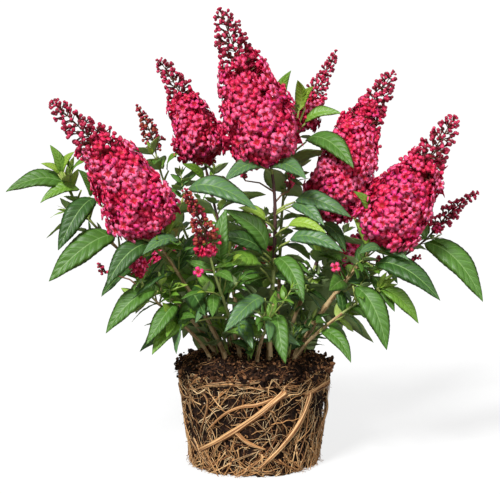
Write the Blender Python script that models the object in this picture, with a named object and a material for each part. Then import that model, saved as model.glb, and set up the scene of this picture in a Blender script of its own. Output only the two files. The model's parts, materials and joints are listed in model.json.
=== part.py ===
# Butterfly bush lifted from its pot: flowering stems that stand on a bare root ball.
# Blender 4.5, metres, +Z up. The front of the bush faces -Y and the flat underside
# of the root ball lies on z = 0, with its axis on x = y = 0.

import math
import random

import bmesh
import bpy
from mathutils import Vector
from mathutils.bvhtree import BVHTree

for old in list(bpy.data.objects):
    bpy.data.objects.remove(old, do_unlink=True)

MM = 0.001
UP = Vector((0.0, 0.0, 1.0))
GAP = 0.3 * MM                 # clearance left between two nodes that touch in life


def mm(x, y, z):
    return Vector((x, y, z)) * MM


# ---------------------------------------------------------------- root ball sizes
BALL_FOOT_R = 77 * MM          # radius at the flat underside
BALL_RIM_R = 93 * MM           # radius at the rim
BALL_RIM_Z = 120 * MM
CROWN_R = 67 * MM              # flat patch of soil that the stems come out of
CROWN_Z = 134 * MM

# Each stem: foot angle (degrees, 0 = +X, -90 = towards the front) and distance from
# the axis, foot radius, the point where its leafy part ends, the tip of its flower
# spike or young shoot, the spike's radius (0 = leafy shoot without a flower), the
# share of the stem that is bare at the foot, the share where the last pair of
# leaves sits, the number of leaf pairs, and the length of its longest leaf.
STEMS = {
    "centre": (-60, 38, 3.0, (19, -15, 367), (-39, -35, 543), 43, 0.28, 0.50, 3, 60),
    "left_big": (-140, 44, 2.8, (-115, -85, 293), (-222, -125, 441), 38, 0.30, 0.86, 4, 84),
    "left_mid": (119, 26, 2.4, (-61, 60, 363), (-116, 80, 484), 29, 0.28, 0.84, 5, 86),
    "left_small": (125, 50, 2.1, (-122, 95, 368), (-145, 105, 425), 12, 0.26, 0.93, 5, 82),
    "right_back": (25, 42, 2.6, (96, 50, 291), (172, 75, 469), 38, 0.30, 0.83, 4, 84),
    "right_front": (-15, 54, 3.6, (143, -75, 284), (224, -105, 423), 39, 0.56, 0.92, 2, 66),
    "far_right": ("right_front", 0.50, 2.0, (214, -30, 288), (261, -30, 330), 13, 0.0, 0.9, 4, 58),
    "upper_right": (55, 50, 2.3, (58, 110, 399), (104, 130, 493), 19, 0.26, 0.95, 6, 80),
    "front_left": (-118, 34, 2.3, (-50, -125, 275), (-75, -150, 345), 16, 0.34, 0.84, 3, 56),
    "left_shoot": (-172, 46, 2.5, (-222, 10, 333), (-238, 14, 372), 0, 0.32, 1.0, 5, 72),
    "low_left": (-150, 60, 2.1, (-131, -100, 249), (-134, -110, 270), 10, 0.36, 0.92, 3, 48),
    "low_right": (-38, 61, 2.1, (147, -60, 224), (168, -62, 240), 0, 0.36, 1.0, 4, 46),
    "front_low": (-86, 52, 2.0, (22, -118, 214), (26, -132, 236), 0, 0.42, 1.0, 3, 42),
    "back_left": (146, 60, 2.4, (-110, 128, 206), (-152, 184, 262), 25, 0.30, 0.86, 4, 84),
    "back_mid": (92, 54, 2.4, (2, 146, 214), (6, 214, 276), 26, 0.28, 0.86, 4, 86),
    "back_right": (38, 61, 2.4, (112, 126, 204), (156, 184, 262), 25, 0.30, 0.86, 4, 82),
    "back_low_left": (116, 62, 2.1, (-66, 158, 176), (-82, 184, 194), 0, 0.30, 1.0, 4, 74),
    "back_low_right": (66, 62, 2.1, (72, 166, 178), (86, 192, 196), 0, 0.30, 1.0, 4, 74),
}

STRAIGHT_SPIKES = ("right_front", "upper_right")   # the other leaning spikes arch over

# The large leaves that stand out in the front view: the stem that each grows from,
# the root of its blade and its tip.
LEAVES = (
    ("left_shoot", (-220, 4, 332), (-293, -18, 331)),
    ("left_shoot", (-206, 0, 330), (-252, -22, 318)),
    ("left_shoot", (-186, -12, 322), (-228, -52, 266)),
    ("left_shoot", (-160, -22, 277), (-238, -62, 231)),
    ("left_big", (-112, -96, 278), (-164, -134, 237)),
    ("low_left", (-110, -92, 224), (-167, -120, 181)),
    ("low_left", (-88, -74, 205), (-122, -110, 166)),
    ("low_left", (-74, -62, 183), (-116, -104, 153)),
    ("left_big", (-84, -96, 281), (-124, -130, 272)),
    ("left_big", (-78, -62, 336), (4, -84, 317)),
    ("left_small", (-106, 80, 346), (-92, 52, 370)),
    ("left_mid", (-62, 50, 336), (-86, 30, 360)),
    ("front_left", (-36, -102, 260), (-31, -96, 320)),
    ("centre", (12, -30, 360), (-34, -62, 347)),
    ("centre", (14, -40, 298), (-18, -52, 316)),
    ("centre", (46, -16, 314), (82, -60, 296)),
    ("centre", (40, -40, 292), (84, -66, 288)),
    ("right_back", (78, 10, 288), (110, -14, 258)),
    ("right_front", (134, -86, 298), (112, -108, 341)),
    ("right_front", (146, -94, 270), (118, -122, 272)),
    ("centre", (13, -50, 262), (-35, -70, 316)),
    ("centre", (9, -52, 258), (-42, -92, 288)),
    ("centre", (6, -50, 249), (-38, -98, 262)),
    ("centre", (21, -22, 357), (60, -78, 352)),
    ("centre", (25, -48, 255), (57, -98, 212)),
    ("front_low", (26, -84, 196), (36, -124, 147)),
    ("front_low", (6, -84, 200), (-30, -124, 184)),
    ("centre", (41, -50, 276), (103, -80, 268)),
    ("centre", (48, -14, 318), (114, -46, 304)),
    ("upper_right", (64, 60, 384), (119, -6, 358)),
    ("upper_right", (64, 96, 404), (110, 84, 418)),
    ("far_right", (200, -34, 270), (267, -62, 207)),
    ("right_front", (136, -82, 252), (211, -112, 217)),
    ("low_right", (116, -60, 224), (153, -92, 156)),
    ("low_right", (146, -64, 220), (192, -66, 182)),
    ("low_right", (78, -58, 170), (112, -92, 141)),
    ("right_front", (150, -84, 270), (176, -104, 262)),
)

# Thick roots that wrap the ball: start angle and height, end angle and height, radius.
ROOTS = (
    (-68, 106, -137, 27, 3.4),
    (-46, 98, -84, 5, 3.0),
    (-142, 92, -76, 112, 2.4),
    (-106, 50, -76, 29, 2.6),
    (-132, 88, -128, 12, 1.8),
    (-40, 92, -52, 14, 1.8),
)
MORE_ROOTS = 8                 # thick roots round the sides and back, by the seeded rule


# ---------------------------------------------------------------- meshes
def make_object(name, verts, faces, material):
    mesh = bpy.data.meshes.new(name)
    mesh.from_pydata([tuple(v) for v in verts], [], faces)
    work = bmesh.new()
    work.from_mesh(mesh)
    bmesh.ops.triangulate(work, faces=work.faces[:])
    bmesh.ops.recalc_face_normals(work, faces=work.faces[:])
    work.to_mesh(mesh)
    work.free()
    obj = bpy.data.objects.new(name, mesh)
    mesh.materials.append(material)
    bpy.context.scene.collection.objects.link(obj)
    return obj


def make_material(name, colour, roughness):
    material = bpy.data.materials.new(name)
    material.use_nodes = True
    shader = material.node_tree.nodes["Principled BSDF"]
    shader.inputs["Base Color"].default_value = (*colour, 1.0)
    shader.inputs["Roughness"].default_value = roughness
    shader.inputs["Metallic"].default_value = 0.0
    return material


SOIL = make_material("soil_and_roots", (0.075, 0.040, 0.020), 0.95)
BARK = make_material("cane_bark", (0.260, 0.150, 0.075), 0.75)
LEAF = make_material("leaf_green", (0.075, 0.200, 0.040), 0.50)
BLOOM = make_material("bloom_crimson", (0.620, 0.020, 0.090), 0.60)


def side_frame(along):
    """Two directions across `along`: the first lies left to right, the second fore and aft."""
    across = along.cross(Vector((0.0, 1.0, 0.0)))
    if across.length < 0.2:
        across = along.cross(Vector((0.0, 0.0, 1.0)))
    across.normalize()
    return across, along.cross(across).normalized()


def tube(points, radii, sides, level_foot=False):
    """A closed tapering limb through the points, with flat ends."""
    verts, faces = [], []
    across, other = side_frame((points[1] - points[0]).normalized())
    for i, point in enumerate(points):
        before = points[max(i - 1, 0)]
        after = points[min(i + 1, len(points) - 1)]
        along = (after - before).normalized()
        across = (across - along * across.dot(along)).normalized()
        other = along.cross(across).normalized()
        for j in range(sides):
            turn = 2 * math.pi * j / sides
            spread = across * math.cos(turn) + other * math.sin(turn)
            corner = point + spread * radii[i]
            if i == 0 and level_foot:
                corner.z = point.z
            verts.append(corner)
    rows = len(points)
    for i in range(rows - 1):
        for j in range(sides):
            k = (j + 1) % sides
            a, b = i * sides, (i + 1) * sides
            faces.append((a + j, a + k, b + k, b + j))
    faces.append(tuple(range(sides))[::-1])
    faces.append(tuple((rows - 1) * sides + j for j in range(sides)))
    return verts, faces


def blade(base, tip, width, arch, facing, extra=0.0):
    """One closed leaf: it arches from its root and droops to a point, its upper side
    turned to `facing`, folded up a little along the midrib. `extra` swells it for the
    clearance test."""
    along = tip - base
    length = along.length
    along.normalize()
    rise = (facing - along * facing.dot(along)).normalized()
    across = along.cross(rise).normalized()
    half = 0.5 * width + extra
    thick = 0.5 * max(0.024 * length, 0.7 * MM) + extra
    stations = ((0.30, 0.95), (0.62, 0.86)) if length > 84 * MM else ((0.42, 1.0),)
    lift = UP - along * UP.dot(along)
    bow = (lift.normalized() * min(lift.length / 0.4, 1.0) * 0.85 + rise * 0.5).normalized()
    verts = [base - along * extra]
    for share, breadth in stations:
        middle = base + along * length * share + bow * arch * length * 4 * share * (1 - share)
        fold = rise * (0.22 * half * breadth)
        verts += [middle - across * half * breadth + fold, middle + across * half * breadth + fold,
                  middle + rise * thick, middle - rise * thick]
    verts.append(tip + along * extra)
    faces = []
    rows = len(stations)
    for side, flip in ((2, False), (3, True)):
        ring = [(0, 1 + 0, 1 + side), (0, 1 + side, 1 + 1)]
        for r in range(rows - 1):
            a, b = 1 + 4 * r, 5 + 4 * r
            ring += [(a, b, b + side), (a, b + side, a + side),
                     (a + side, b + side, b + 1), (a + side, b + 1, a + 1)]
        a = 1 + 4 * (rows - 1)
        end = len(verts) - 1
        ring += [(a, end, a + side), (a + side, end, a + 1)]
        faces += [tuple(reversed(f)) if flip else f for f in ring]
    return verts, faces


# ---------------------------------------------------------------- stem curves
class Stem:
    """The centre line of one stem, from its foot to where its flower begins."""

    def __init__(self, name, row):
        self.name = name
        where, distance, radius, end, tip, bloom, bare, last, pairs, longest = row
        self.radius = radius * MM
        self.end = mm(*end)
        self.tip = mm(*tip)
        self.bloom = bloom * MM
        self.bare, self.last, self.pairs, self.longest = bare, last, pairs, longest * MM
        if isinstance(where, str):
            parent = stems[where]
            start, along = parent.at(distance)
            out = (self.end - start)
            out = (out - along * out.dot(along)).normalized()
            self.foot = start + out * (parent.thickness(distance) + GAP + self.radius)
            first = (along * 0.5 + out * 0.35 + (self.end - start).normalized()).normalized()
        else:
            turn = math.radians(where)
            self.foot = Vector((math.cos(turn) * distance * MM, math.sin(turn) * distance * MM,
                                CROWN_Z + GAP))
            first = ((self.end - self.foot).normalized() + UP * 0.45).normalized()
        chord = self.end - self.foot
        last_way = self.spike(0.0)[1]
        a, d = self.foot, self.end
        b = a + first * chord.length * 0.33
        c = d - last_way * chord.length * 0.25
        self.line = []
        steps = 40
        for i in range(steps + 1):
            t = i / steps
            s = 1 - t
            self.line.append(a * s ** 3 + b * 3 * s * s * t + c * 3 * s * t * t + d * t ** 3)
        self.sums = [0.0]
        for i in range(steps):
            self.sums.append(self.sums[-1] + (self.line[i + 1] - self.line[i]).length)
        self.length = self.sums[-1]

    def spike(self, share):
        """Point and direction on the axis of the flower: a spike that leans arches over."""
        chord = self.tip - self.end
        lift = UP - chord.normalized() * chord.normalized().z
        bow = min(max((lift.length - 0.30) / 0.10, 0.0), 1.0)
        if self.bloom == 0 or self.name in STRAIGHT_SPIKES:
            bow = 0.0
        knee = (self.end + self.tip) * 0.5 + lift.normalized() * 0.11 * bow * chord.length
        t, s = share, 1.0 - share
        point = self.end * s * s + knee * 2 * s * t + self.tip * t * t
        return point, ((knee - self.end) * s + (self.tip - knee) * t).normalized()

    def at(self, share):
        """Point and direction at a share of the stem's length."""
        want = min(max(share, 0.0), 1.0) * self.length
        i = 0
        while i < len(self.sums) - 2 and self.sums[i + 1] < want:
            i += 1
        span = self.sums[i + 1] - self.sums[i]
        t = (want - self.sums[i]) / span
        point = self.line[i].lerp(self.line[i + 1], t)
        return point, (self.line[i + 1] - self.line[i]).normalized()

    def thickness(self, share):
        flare = 1.0 + 0.25 * max(0.0, 1 - share / 0.06)
        return self.radius * flare * (1 - 0.52 * share)

    def nearest(self, point):
        return min((self.at(i / 60)[0] - point).length for i in range(61))

    def nearest_share(self, point, lowest):
        """The share of the stem that a side twig to the point starts from: a little
        below the nearest place, because twigs climb outwards."""
        best = min(range(61), key=lambda i: (self.at(i / 60)[0] - point).length) / 60
        away = (self.at(best)[0] - point).length
        return max(lowest, best - 0.45 * away / self.length)


stems = {}
for stem_name, stem_row in STEMS.items():
    stems[stem_name] = Stem(stem_name, stem_row)


# ---------------------------------------------------------------- root ball
def ball_radius(angle, z):
    """Radius of the worn, lumpy side of the ball."""
    share = z / BALL_RIM_Z
    lumps = (0.9 * math.sin(5 * angle + 1.3) + 0.7 * math.sin(9 * angle + 40 * z / BALL_RIM_Z * 0.11)
             + 0.6 * math.sin(14 * angle + 5 * share))
    return BALL_FOOT_R + (BALL_RIM_R - BALL_FOOT_R) * share ** 0.9 + lumps * MM


def build_ball():
    sides = 28
    levels = [0, 10, 32, 56, 80, 102, 120]
    rng = random.Random(11)
    verts, faces = [], []
    for z in levels:
        for j in range(sides):
            turn = 2 * math.pi * j / sides
            radius = ball_radius(turn, z * MM)
            height = z * MM
            if z == 0:
                radius -= 3 * MM
            elif z == levels[-1]:
                height += rng.uniform(-3.0, 4.5) * MM
                radius += rng.uniform(-2.5, 2.0) * MM
            else:
                radius += rng.uniform(-1.3, 1.3) * MM
            verts.append(Vector((radius * math.cos(turn), radius * math.sin(turn), height)))
    for radius, height in ((BALL_RIM_R - 11 * MM, 125.5 * MM), (CROWN_R, CROWN_Z)):
        for j in range(sides):
            turn = 2 * math.pi * j / sides
            rough = rng.uniform(-1.5, 1.5) * MM if height < CROWN_Z else 0.0
            verts.append(Vector((radius * math.cos(turn), radius * math.sin(turn), height + rough)))
    rows = len(levels) + 2
    for i in range(rows - 1):
        for j in range(sides):
            k = (j + 1) % sides
            a, b = i * sides, (i + 1) * sides
            faces.append((a + j, a + k, b + k, b + j))
    faces.append(tuple(range(sides))[::-1])
    faces.append(tuple((rows - 1) * sides + j for j in range(sides)))
    return verts, faces


def root_tube(start, high, end, low, radius):
    """A thick root that lies half sunk along the side of the ball."""
    points, radii = [], []
    steps = 5
    for i in range(steps + 1):
        t = i / steps
        turn = math.radians(start + (end - start) * t)
        z = (high + (low - high) * t + 4 * math.sin(math.pi * t)) * MM
        sunk = radius * MM * (0.1 if 0 < i < steps else 1.6)
        out = ball_radius(turn, z) - sunk
        points.append(Vector((out * math.cos(turn), out * math.sin(turn), z)))
        radii.append(radius * MM * (1.0 - 0.35 * t))
    return tube(points, radii, 4)


def fuse(host, pieces):
    """Join the pieces to the host with one Boolean union, exact first. Where neither
    solver gives one closed body, the pieces that spoil it are found one by one and
    left out, and the rest are joined again in one union."""
    bare = host.data
    for solver in ("EXACT", "MANIFOLD"):
        host.data = bare.copy()
        if join(host, pieces, solver):
            print("NODE", host.name, solver, "pieces", len(pieces), "faces", len(host.data.polygons))
            return
    good = []
    for number, piece in enumerate(pieces):
        for solver in ("EXACT", "MANIFOLD"):
            host.data = bare.copy()
            if join(host, good + [piece], solver):
                good.append(piece)
                best = host.data.copy()
                break
        else:
            print("   left out of", host.name, "piece", number,
                  [round(v / MM) for v in piece[0][0]], "faces", len(piece[1]))
    host.data = best
    print("NODE", host.name, solver, "pieces", len(good), "of", len(pieces),
          "faces", len(host.data.polygons))


def join(host, pieces, solver):
    group = bpy.data.collections.new(host.name + "_pieces")
    bpy.context.scene.collection.children.link(group)
    for verts, faces in pieces:
        piece = make_object("piece", verts, faces, host.data.materials[0])
        bpy.context.scene.collection.objects.unlink(piece)
        group.objects.link(piece)
    union = host.modifiers.new("join", "BOOLEAN")
    union.operation = "UNION"
    union.operand_type = "COLLECTION"
    union.collection = group
    union.solver = solver
    bpy.context.view_layer.update()
    bpy.ops.object.select_all(action="DESELECT")
    bpy.context.view_layer.objects.active = host
    host.select_set(True)
    bpy.ops.object.modifier_apply(modifier="join")
    for piece in list(group.objects):
        mesh = piece.data
        bpy.data.objects.remove(piece, do_unlink=True)
        bpy.data.meshes.remove(mesh)
    bpy.data.collections.remove(group)
    return clean(host)


def open_edges(work):
    return sum(1 for edge in work.edges if len(edge.link_faces) != 2)


def in_triangles(work, merge):
    """A triangulated copy, by the first method that leaves no open edge, or None."""
    for method in ("BEAUTY", "EAR_CLIP"):
        trial = work.copy()
        if merge:
            bmesh.ops.dissolve_limit(trial, angle_limit=math.radians(0.3), verts=trial.verts[:],
                                     edges=trial.edges[:], use_dissolve_boundaries=False)
        bmesh.ops.triangulate(trial, faces=trial.faces[:], ngon_method=method)
        if open_edges(trial) == 0 and min(face.calc_area() for face in trial.faces) > 1e-13:
            return trial
        trial.free()
    return None


def clean(host):
    """Keep the one outer shell: scraps and sealed hollows are dropped, and flat fragments
    are merged. Says whether the node is closed and no leaf has come loose."""
    raw = bmesh.new()
    raw.from_mesh(host.data)
    bmesh.ops.remove_doubles(raw, verts=raw.verts[:], dist=0.0005 * MM)
    work = in_triangles(raw, True) or in_triangles(raw, False)
    raw.free()
    if work is None:
        return False
    work.faces.index_update()
    seen = set()
    shells = []
    for face in work.faces:
        if face.index in seen:
            continue
        shell, todo = [], [face]
        seen.add(face.index)
        while todo:
            here = todo.pop()
            shell.append(here)
            for edge in here.edges:
                for other in edge.link_faces:
                    if other.index not in seen:
                        seen.add(other.index)
                        todo.append(other)
        volume = sum(f.verts[0].co.dot(f.verts[1].co.cross(f.verts[2].co)) for f in shell) / 6
        shells.append((volume, shell))
    shells.sort(key=lambda item: -item[0])
    lost = [volume for volume, shell in shells[1:] if volume > 20 * MM ** 3]
    for volume, shell in shells[1:]:
        bmesh.ops.delete(work, geom=shell, context="FACES")
    loose = [v for v in work.verts if not v.link_faces]
    bmesh.ops.delete(work, geom=loose, context="VERTS")
    sound = open_edges(work) == 0 and not lost
    work.to_mesh(host.data)
    work.free()
    return sound


ball = make_object("root_ball", *build_ball(), SOIL)
root_rows = list(ROOTS)
root_rng = random.Random(5)
for number in range(MORE_ROOTS):
    begin = -20 + 200 * (number + 0.5) / MORE_ROOTS + root_rng.uniform(-6, 6)
    sweep = root_rng.choice((-1, 1)) * root_rng.uniform(14, 46)
    root_rows.append((begin, root_rng.uniform(84, 108), begin + sweep, root_rng.uniform(8, 34),
                      root_rng.uniform(1.8, 2.9)))
fuse(ball, [root_tube(*row) for row in root_rows])


# ---------------------------------------------------------------- canes and blooms
def bloom_shape(share):
    """Radius of a flower spike against its widest, from its foot (0) to its tip (1)."""
    steps = ((0.0, 0.30), (0.05, 0.80), (0.14, 1.0), (0.30, 0.96), (0.48, 0.82), (0.60, 0.64),
             (0.72, 0.50), (0.88, 0.38), (0.96, 0.24), (1.0, 0.08))
    for (s0, r0), (s1, r1) in zip(steps, steps[1:]):
        if share <= s1:
            return r0 + (r1 - r0) * (share - s0) / (s1 - s0)
    return steps[-1][1]


def bloom_mesh(stem):
    """A flower spike: rings of floret clusters that stand out by turns, closer together
    on the open part and looser on the budded tip."""
    length = (stem.tip - stem.end).length
    across = side_frame(stem.spike(0.0)[1])[0]
    big = stem.bloom > 20 * MM
    sides = 10 if big else 8
    rings = 15 if big else 8
    rng = random.Random(int(stem.bloom / MM * 7 + length / MM))
    verts, faces = [], []
    for i in range(rings):
        share = i / (rings - 1)
        centre, along = stem.spike(share + GAP / length * (1 - share))
        across = (across - along * across.dot(along)).normalized()
        other = along.cross(across)
        radius = stem.bloom * bloom_shape(share)
        inner = 0 < i < rings - 1
        for j in range(sides):
            turn = 2 * math.pi * (j + 0.5 * (i % 2)) / sides
            stands_out = i % 2 and (j + i // 2) % 2
            bump = (0.05 + 0.08 * share) if stands_out else -(0.05 + 0.12 * share)
            reach = radius * ((1 + bump) * rng.uniform(0.95, 1.05) if inner else 1.0)
            verts.append(centre + (across * math.cos(turn) + other * math.sin(turn)) * reach)
    for i in range(rings - 1):
        for j in range(sides):
            k = (j + 1) % sides
            a, b = i * sides, (i + 1) * sides
            if i % 2:
                faces += [(a + j, a + k, b + k), (a + j, b + k, b + j)]
            else:
                faces += [(a + j, a + k, b + j), (a + k, b + k, b + j)]
    faces.append(tuple(range(sides))[::-1])
    faces.append(tuple((rings - 1) * sides + j for j in range(sides)))
    return verts, faces


def stem_tube(stem, first, last, sides, steps, level_foot):
    points, radii = [], []
    for i in range(steps + 1):
        share = first + (last - first) * i / steps
        points.append(stem.at(share)[0])
        radii.append(stem.thickness(share))
    return tube(points, radii, sides, level_foot)


def tree_of(shape):
    return BVHTree.FromPolygons([tuple(v) for v in shape[0]], shape[1])


solids = {}                    # what each node already holds, as (owner, search tree)
limbs = {}
for name, stem in stems.items():
    if stem.bare > 0:
        shape = stem_tube(stem, 0.0, stem.bare, 6, 3, True)
        make_object("cane_" + name, *shape, BARK)
        solids["cane_" + name] = tree_of(shape)
    if stem.bloom > 0:
        shape = bloom_mesh(stem)
        make_object("bloom_" + name, *shape, BLOOM)
        solids["bloom_" + name] = tree_of(shape)
    first = stem.bare + GAP / stem.length if stem.bare > 0 else GAP / stem.length
    limbs[name] = stem_tube(stem, first, 1.0, 4, 8, False)
    solids["foliage_" + name] = tree_of(limbs[name])
solids["root_ball"] = BVHTree.FromObject(ball, bpy.context.evaluated_depsgraph_get())


# ---------------------------------------------------------------- leafy masses
def free_of_others(shape, owner):
    tree = tree_of(shape)
    for node, solid in solids.items():
        if node != owner and tree.overlap(solid):
            return False
    return True


def try_leaf(kept, owner, base, tip, width, arch, facing):
    """Keep a leaf only where it stays clear of every other node."""
    if free_of_others(blade(base, tip, width, arch, facing, 0.5 * MM), owner):
        kept.append(blade(base, tip, width, arch, facing))
        return True
    return False


def try_twig(kept, owner, points, radii):
    if free_of_others(tube(points, [r + 0.5 * MM for r in radii], 3), owner):
        kept.append(tube(points, radii, 3))
        return True
    return False


def leaf_pose(stem, share, turn, side, length, rng):
    """Root and tip of one leaf of a pair: it leaves the stem sideways, climbs when it
    is young and hangs when it is old."""
    point, along = stem.at(share)
    across, other = side_frame(along)
    out = (across * math.cos(turn) + other * math.sin(turn)) * side
    youth = share ** 2
    way = out + along * (0.25 + 0.45 * youth) - UP * (0.50 - 0.42 * youth + rng.uniform(-0.12, 0.12))
    way = way.normalized()
    root = point + out * stem.thickness(share) * 0.1
    return root, root + way * length, out


FRONT_LIGHT = Vector((0.0, -0.72, 0.69))


def face_way(root, rng):
    """Where a leaf turns its upper side: up, outwards, and a little at random."""
    out = Vector((root.x, root.y, 0.0))
    out = out.normalized() if out.length > 10 * MM else Vector((0.0, -1.0, 0.0))
    return UP * 0.75 + out * 0.45 + Vector((rng.uniform(-0.6, 0.6), rng.uniform(-0.6, 0.6), 0.0))


def grow(stem):
    """The leafy part of one stem, by the seeded rule: crossed pairs of leaves, and in
    their axils short side shoots with small leaves."""
    owner = "foliage_" + stem.name
    place_in_row = list(stems).index(stem.name)
    rng = random.Random(100 + place_in_row)
    kept = []
    count = skipped = 0
    for owner_name, base, tip in LEAVES:
        if owner_name != stem.name:
            continue
        base, tip = mm(*base), mm(*tip)
        length = (tip - base).length
        share = stem.nearest_share(base, stem.bare + 0.02)
        start = stem.at(share)[0]
        if (base - start).length > 5 * MM:
            past = base + (base - start).normalized() * 1.5 * MM
            if not try_twig(kept, owner, [start, past], [1.6 * MM, 1.2 * MM]):
                print("hero twig left out", owner_name, tuple(base))
                continue
        else:
            base = stem.at(stem.nearest_share(base, stem.bare + 0.02))[0].lerp(base, 0.12)
        if try_leaf(kept, owner, base, tip, length * 0.40, 0.13, FRONT_LIGHT):
            count += 1
        else:
            skipped += 1
            print("hero leaf left out", owner_name, tuple(base))
    turn = rng.uniform(0, math.pi)
    for number in range(stem.pairs):
        share = stem.bare + 0.05 + (stem.last - stem.bare - 0.07) * number / max(stem.pairs - 1, 1)
        turn += math.pi / 2 + rng.uniform(-0.25, 0.25)
        grown = math.sin(math.pi * min(max(0.18 + 0.72 * share, 0.0), 1.0)) ** 0.7
        for side in (-1, 1):
            draw = random.Random(1000 * place_in_row + 10 * number + side)
            length = stem.longest * grown * draw.uniform(0.82, 1.12)
            root, tip, out = leaf_pose(stem, share, turn, side, length, draw)
            facing = face_way(root, draw)
            for size in (1.0, 0.78, 0.6):
                end = root + (tip - root) * size
                if try_leaf(kept, owner, root, end, length * size * 0.40, 0.12, facing):
                    count += 1
                    break
            else:
                skipped += 1
            point, along = stem.at(share)
            reach = draw.uniform(20, 38) * MM
            wanted = draw.random() < 0.36
            way = (out * 0.75 + along * 0.8 + UP * 0.2).normalized()
            spin = draw.uniform(0, math.pi)
            small = draw.uniform(28, 40) * MM
            if not wanted:
                continue
            end = point + way * reach
            if not try_twig(kept, owner, [point, end], [1.2 * MM, 0.8 * MM]):
                skipped += 4
                continue
            for place, size in ((0.5, 1.0), (0.95, 0.8)):
                knot = point + way * reach * place
                a, b = side_frame(way)
                for hand in (-1, 1):
                    fan = (a * math.cos(spin) + b * math.sin(spin)) * hand
                    lean = (fan * (0.9 if place < 0.9 else 0.5) + way * 0.6 - UP * 0.08).normalized()
                    if try_leaf(kept, owner, knot, knot + lean * small * size, small * size * 0.42, 0.08,
                                face_way(knot, draw)):
                        count += 1
                    else:
                        skipped += 1
                spin += math.pi / 2
    if stem.bloom == 0:
        # a leafy shoot ends in its own young growth
        point, along = stem.at(1.0)
        reach = (stem.tip - stem.end).length
        across, other = side_frame(along)
        for spin, lean_out, size in ((0.4, 0.55, 0.9), (0.4 + math.pi / 2, 0.25, 1.0)):
            for hand in (-1, 1):
                fan = (across * math.cos(spin) + other * math.sin(spin)) * hand
                lean = (along + fan * lean_out).normalized()
                root = point - along * 3 * MM
                if try_leaf(kept, owner, root, root + lean * reach * size, reach * size * 0.30, 0.05,
                            face_way(root, rng)):
                    count += 1
    host = make_object(owner, *limbs[stem.name], LEAF)
    fuse(host, kept)
    mesh = host.data
    solids[owner] = BVHTree.FromPolygons([tuple(v.co) for v in mesh.vertices],
                                         [tuple(p.vertices) for p in mesh.polygons])
    print("MASS", stem.name, "leaves", count, "skipped", skipped)
    return count


total = 0
for stem in stems.values():
    total += grow(stem)
triangles = sum(len(o.data.polygons) for o in bpy.data.objects)
print("LEAVES", total, "OBJECTS", len(bpy.data.objects), "POLYGONS", triangles)
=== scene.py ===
# Butterfly bush on its bare root ball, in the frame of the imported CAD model.
# Metres, +Z up, front towards -Y, the flat underside of the root ball on z = 0.

import json
import math
import random

import bmesh
import bpy
import numpy as np
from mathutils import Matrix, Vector

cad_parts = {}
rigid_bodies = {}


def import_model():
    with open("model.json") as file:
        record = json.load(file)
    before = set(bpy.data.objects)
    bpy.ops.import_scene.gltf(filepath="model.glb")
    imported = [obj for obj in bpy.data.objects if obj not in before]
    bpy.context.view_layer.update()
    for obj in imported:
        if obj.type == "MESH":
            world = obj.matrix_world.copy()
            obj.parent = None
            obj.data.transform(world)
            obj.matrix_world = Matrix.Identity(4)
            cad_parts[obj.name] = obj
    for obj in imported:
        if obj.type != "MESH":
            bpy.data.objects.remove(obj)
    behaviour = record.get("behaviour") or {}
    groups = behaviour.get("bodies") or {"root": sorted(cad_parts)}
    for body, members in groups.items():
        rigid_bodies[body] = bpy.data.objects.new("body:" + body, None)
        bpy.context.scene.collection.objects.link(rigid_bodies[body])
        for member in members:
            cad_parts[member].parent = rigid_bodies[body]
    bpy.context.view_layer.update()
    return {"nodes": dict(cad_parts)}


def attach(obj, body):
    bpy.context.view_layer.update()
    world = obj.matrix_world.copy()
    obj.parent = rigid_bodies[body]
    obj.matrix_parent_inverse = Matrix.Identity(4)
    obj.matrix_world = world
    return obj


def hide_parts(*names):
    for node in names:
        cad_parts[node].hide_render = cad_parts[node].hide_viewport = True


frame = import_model()
bpy.ops.object.select_all(action="DESELECT")
MM = 0.001

# ROOT BALL, the compost: dark, crumbly, shaped by the nursery pot it was lifted from and
# mounded up to the stems. It stands by itself on its flat foot. A cylinder is tapered,
# domed, remeshed into fine faces and roughened into clods and crumbs.
FOOT_R, RIM_R, RIM_Z = 77 * MM, 92 * MM, 120 * MM
CROWN_R, CROWN_Z = 67 * MM, 133 * MM
bpy.ops.mesh.primitive_cylinder_add(vertices=96, radius=RIM_R, depth=RIM_Z, location=(0, 0, RIM_Z / 2))
soil = bpy.context.object
soil.name = "compost"
bpy.ops.object.transform_apply(location=True, rotation=False, scale=False)


def pick(obj, wanted, kind="VERT"):
    """In edit mode: select the vertices or faces that the rule wants."""
    work = bmesh.from_edit_mesh(obj.data)
    bpy.ops.mesh.select_mode(type=kind)
    bpy.ops.mesh.select_all(action="DESELECT")
    group = work.verts if kind == "VERT" else work.faces
    for item in group:
        item.select = wanted(item)
    work.select_flush_mode()
    bmesh.update_edit_mesh(obj.data)


bpy.ops.object.mode_set(mode="EDIT")
pick(soil, lambda v: v.co.z < 1 * MM)
bpy.ops.transform.resize(value=(FOOT_R / RIM_R, FOOT_R / RIM_R, 1), center_override=(0, 0, 0))
pick(soil, lambda f: f.normal.z > 0.9, "FACE")
bpy.ops.mesh.inset(thickness=11 * MM)
bpy.ops.transform.translate(value=(0, 0, 6 * MM))
bpy.ops.mesh.inset(thickness=14 * MM)
bpy.ops.transform.translate(value=(0, 0, CROWN_Z - RIM_Z - 6 * MM))
bpy.ops.mesh.inset(thickness=24 * MM)
bpy.ops.transform.translate(value=(0, 0, 1.5 * MM))
pick(soil, lambda f: f.normal.z < -0.9, "FACE")
bpy.ops.mesh.inset(thickness=3 * MM)
bpy.ops.transform.translate(value=(0, 0, -0.6 * MM))
bpy.ops.object.mode_set(mode="OBJECT")


def apply_all(obj):
    bpy.ops.object.select_all(action="DESELECT")
    bpy.context.view_layer.objects.active = obj
    obj.select_set(True)
    for name in [m.name for m in obj.modifiers]:
        bpy.ops.object.modifier_apply(modifier=name)


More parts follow.
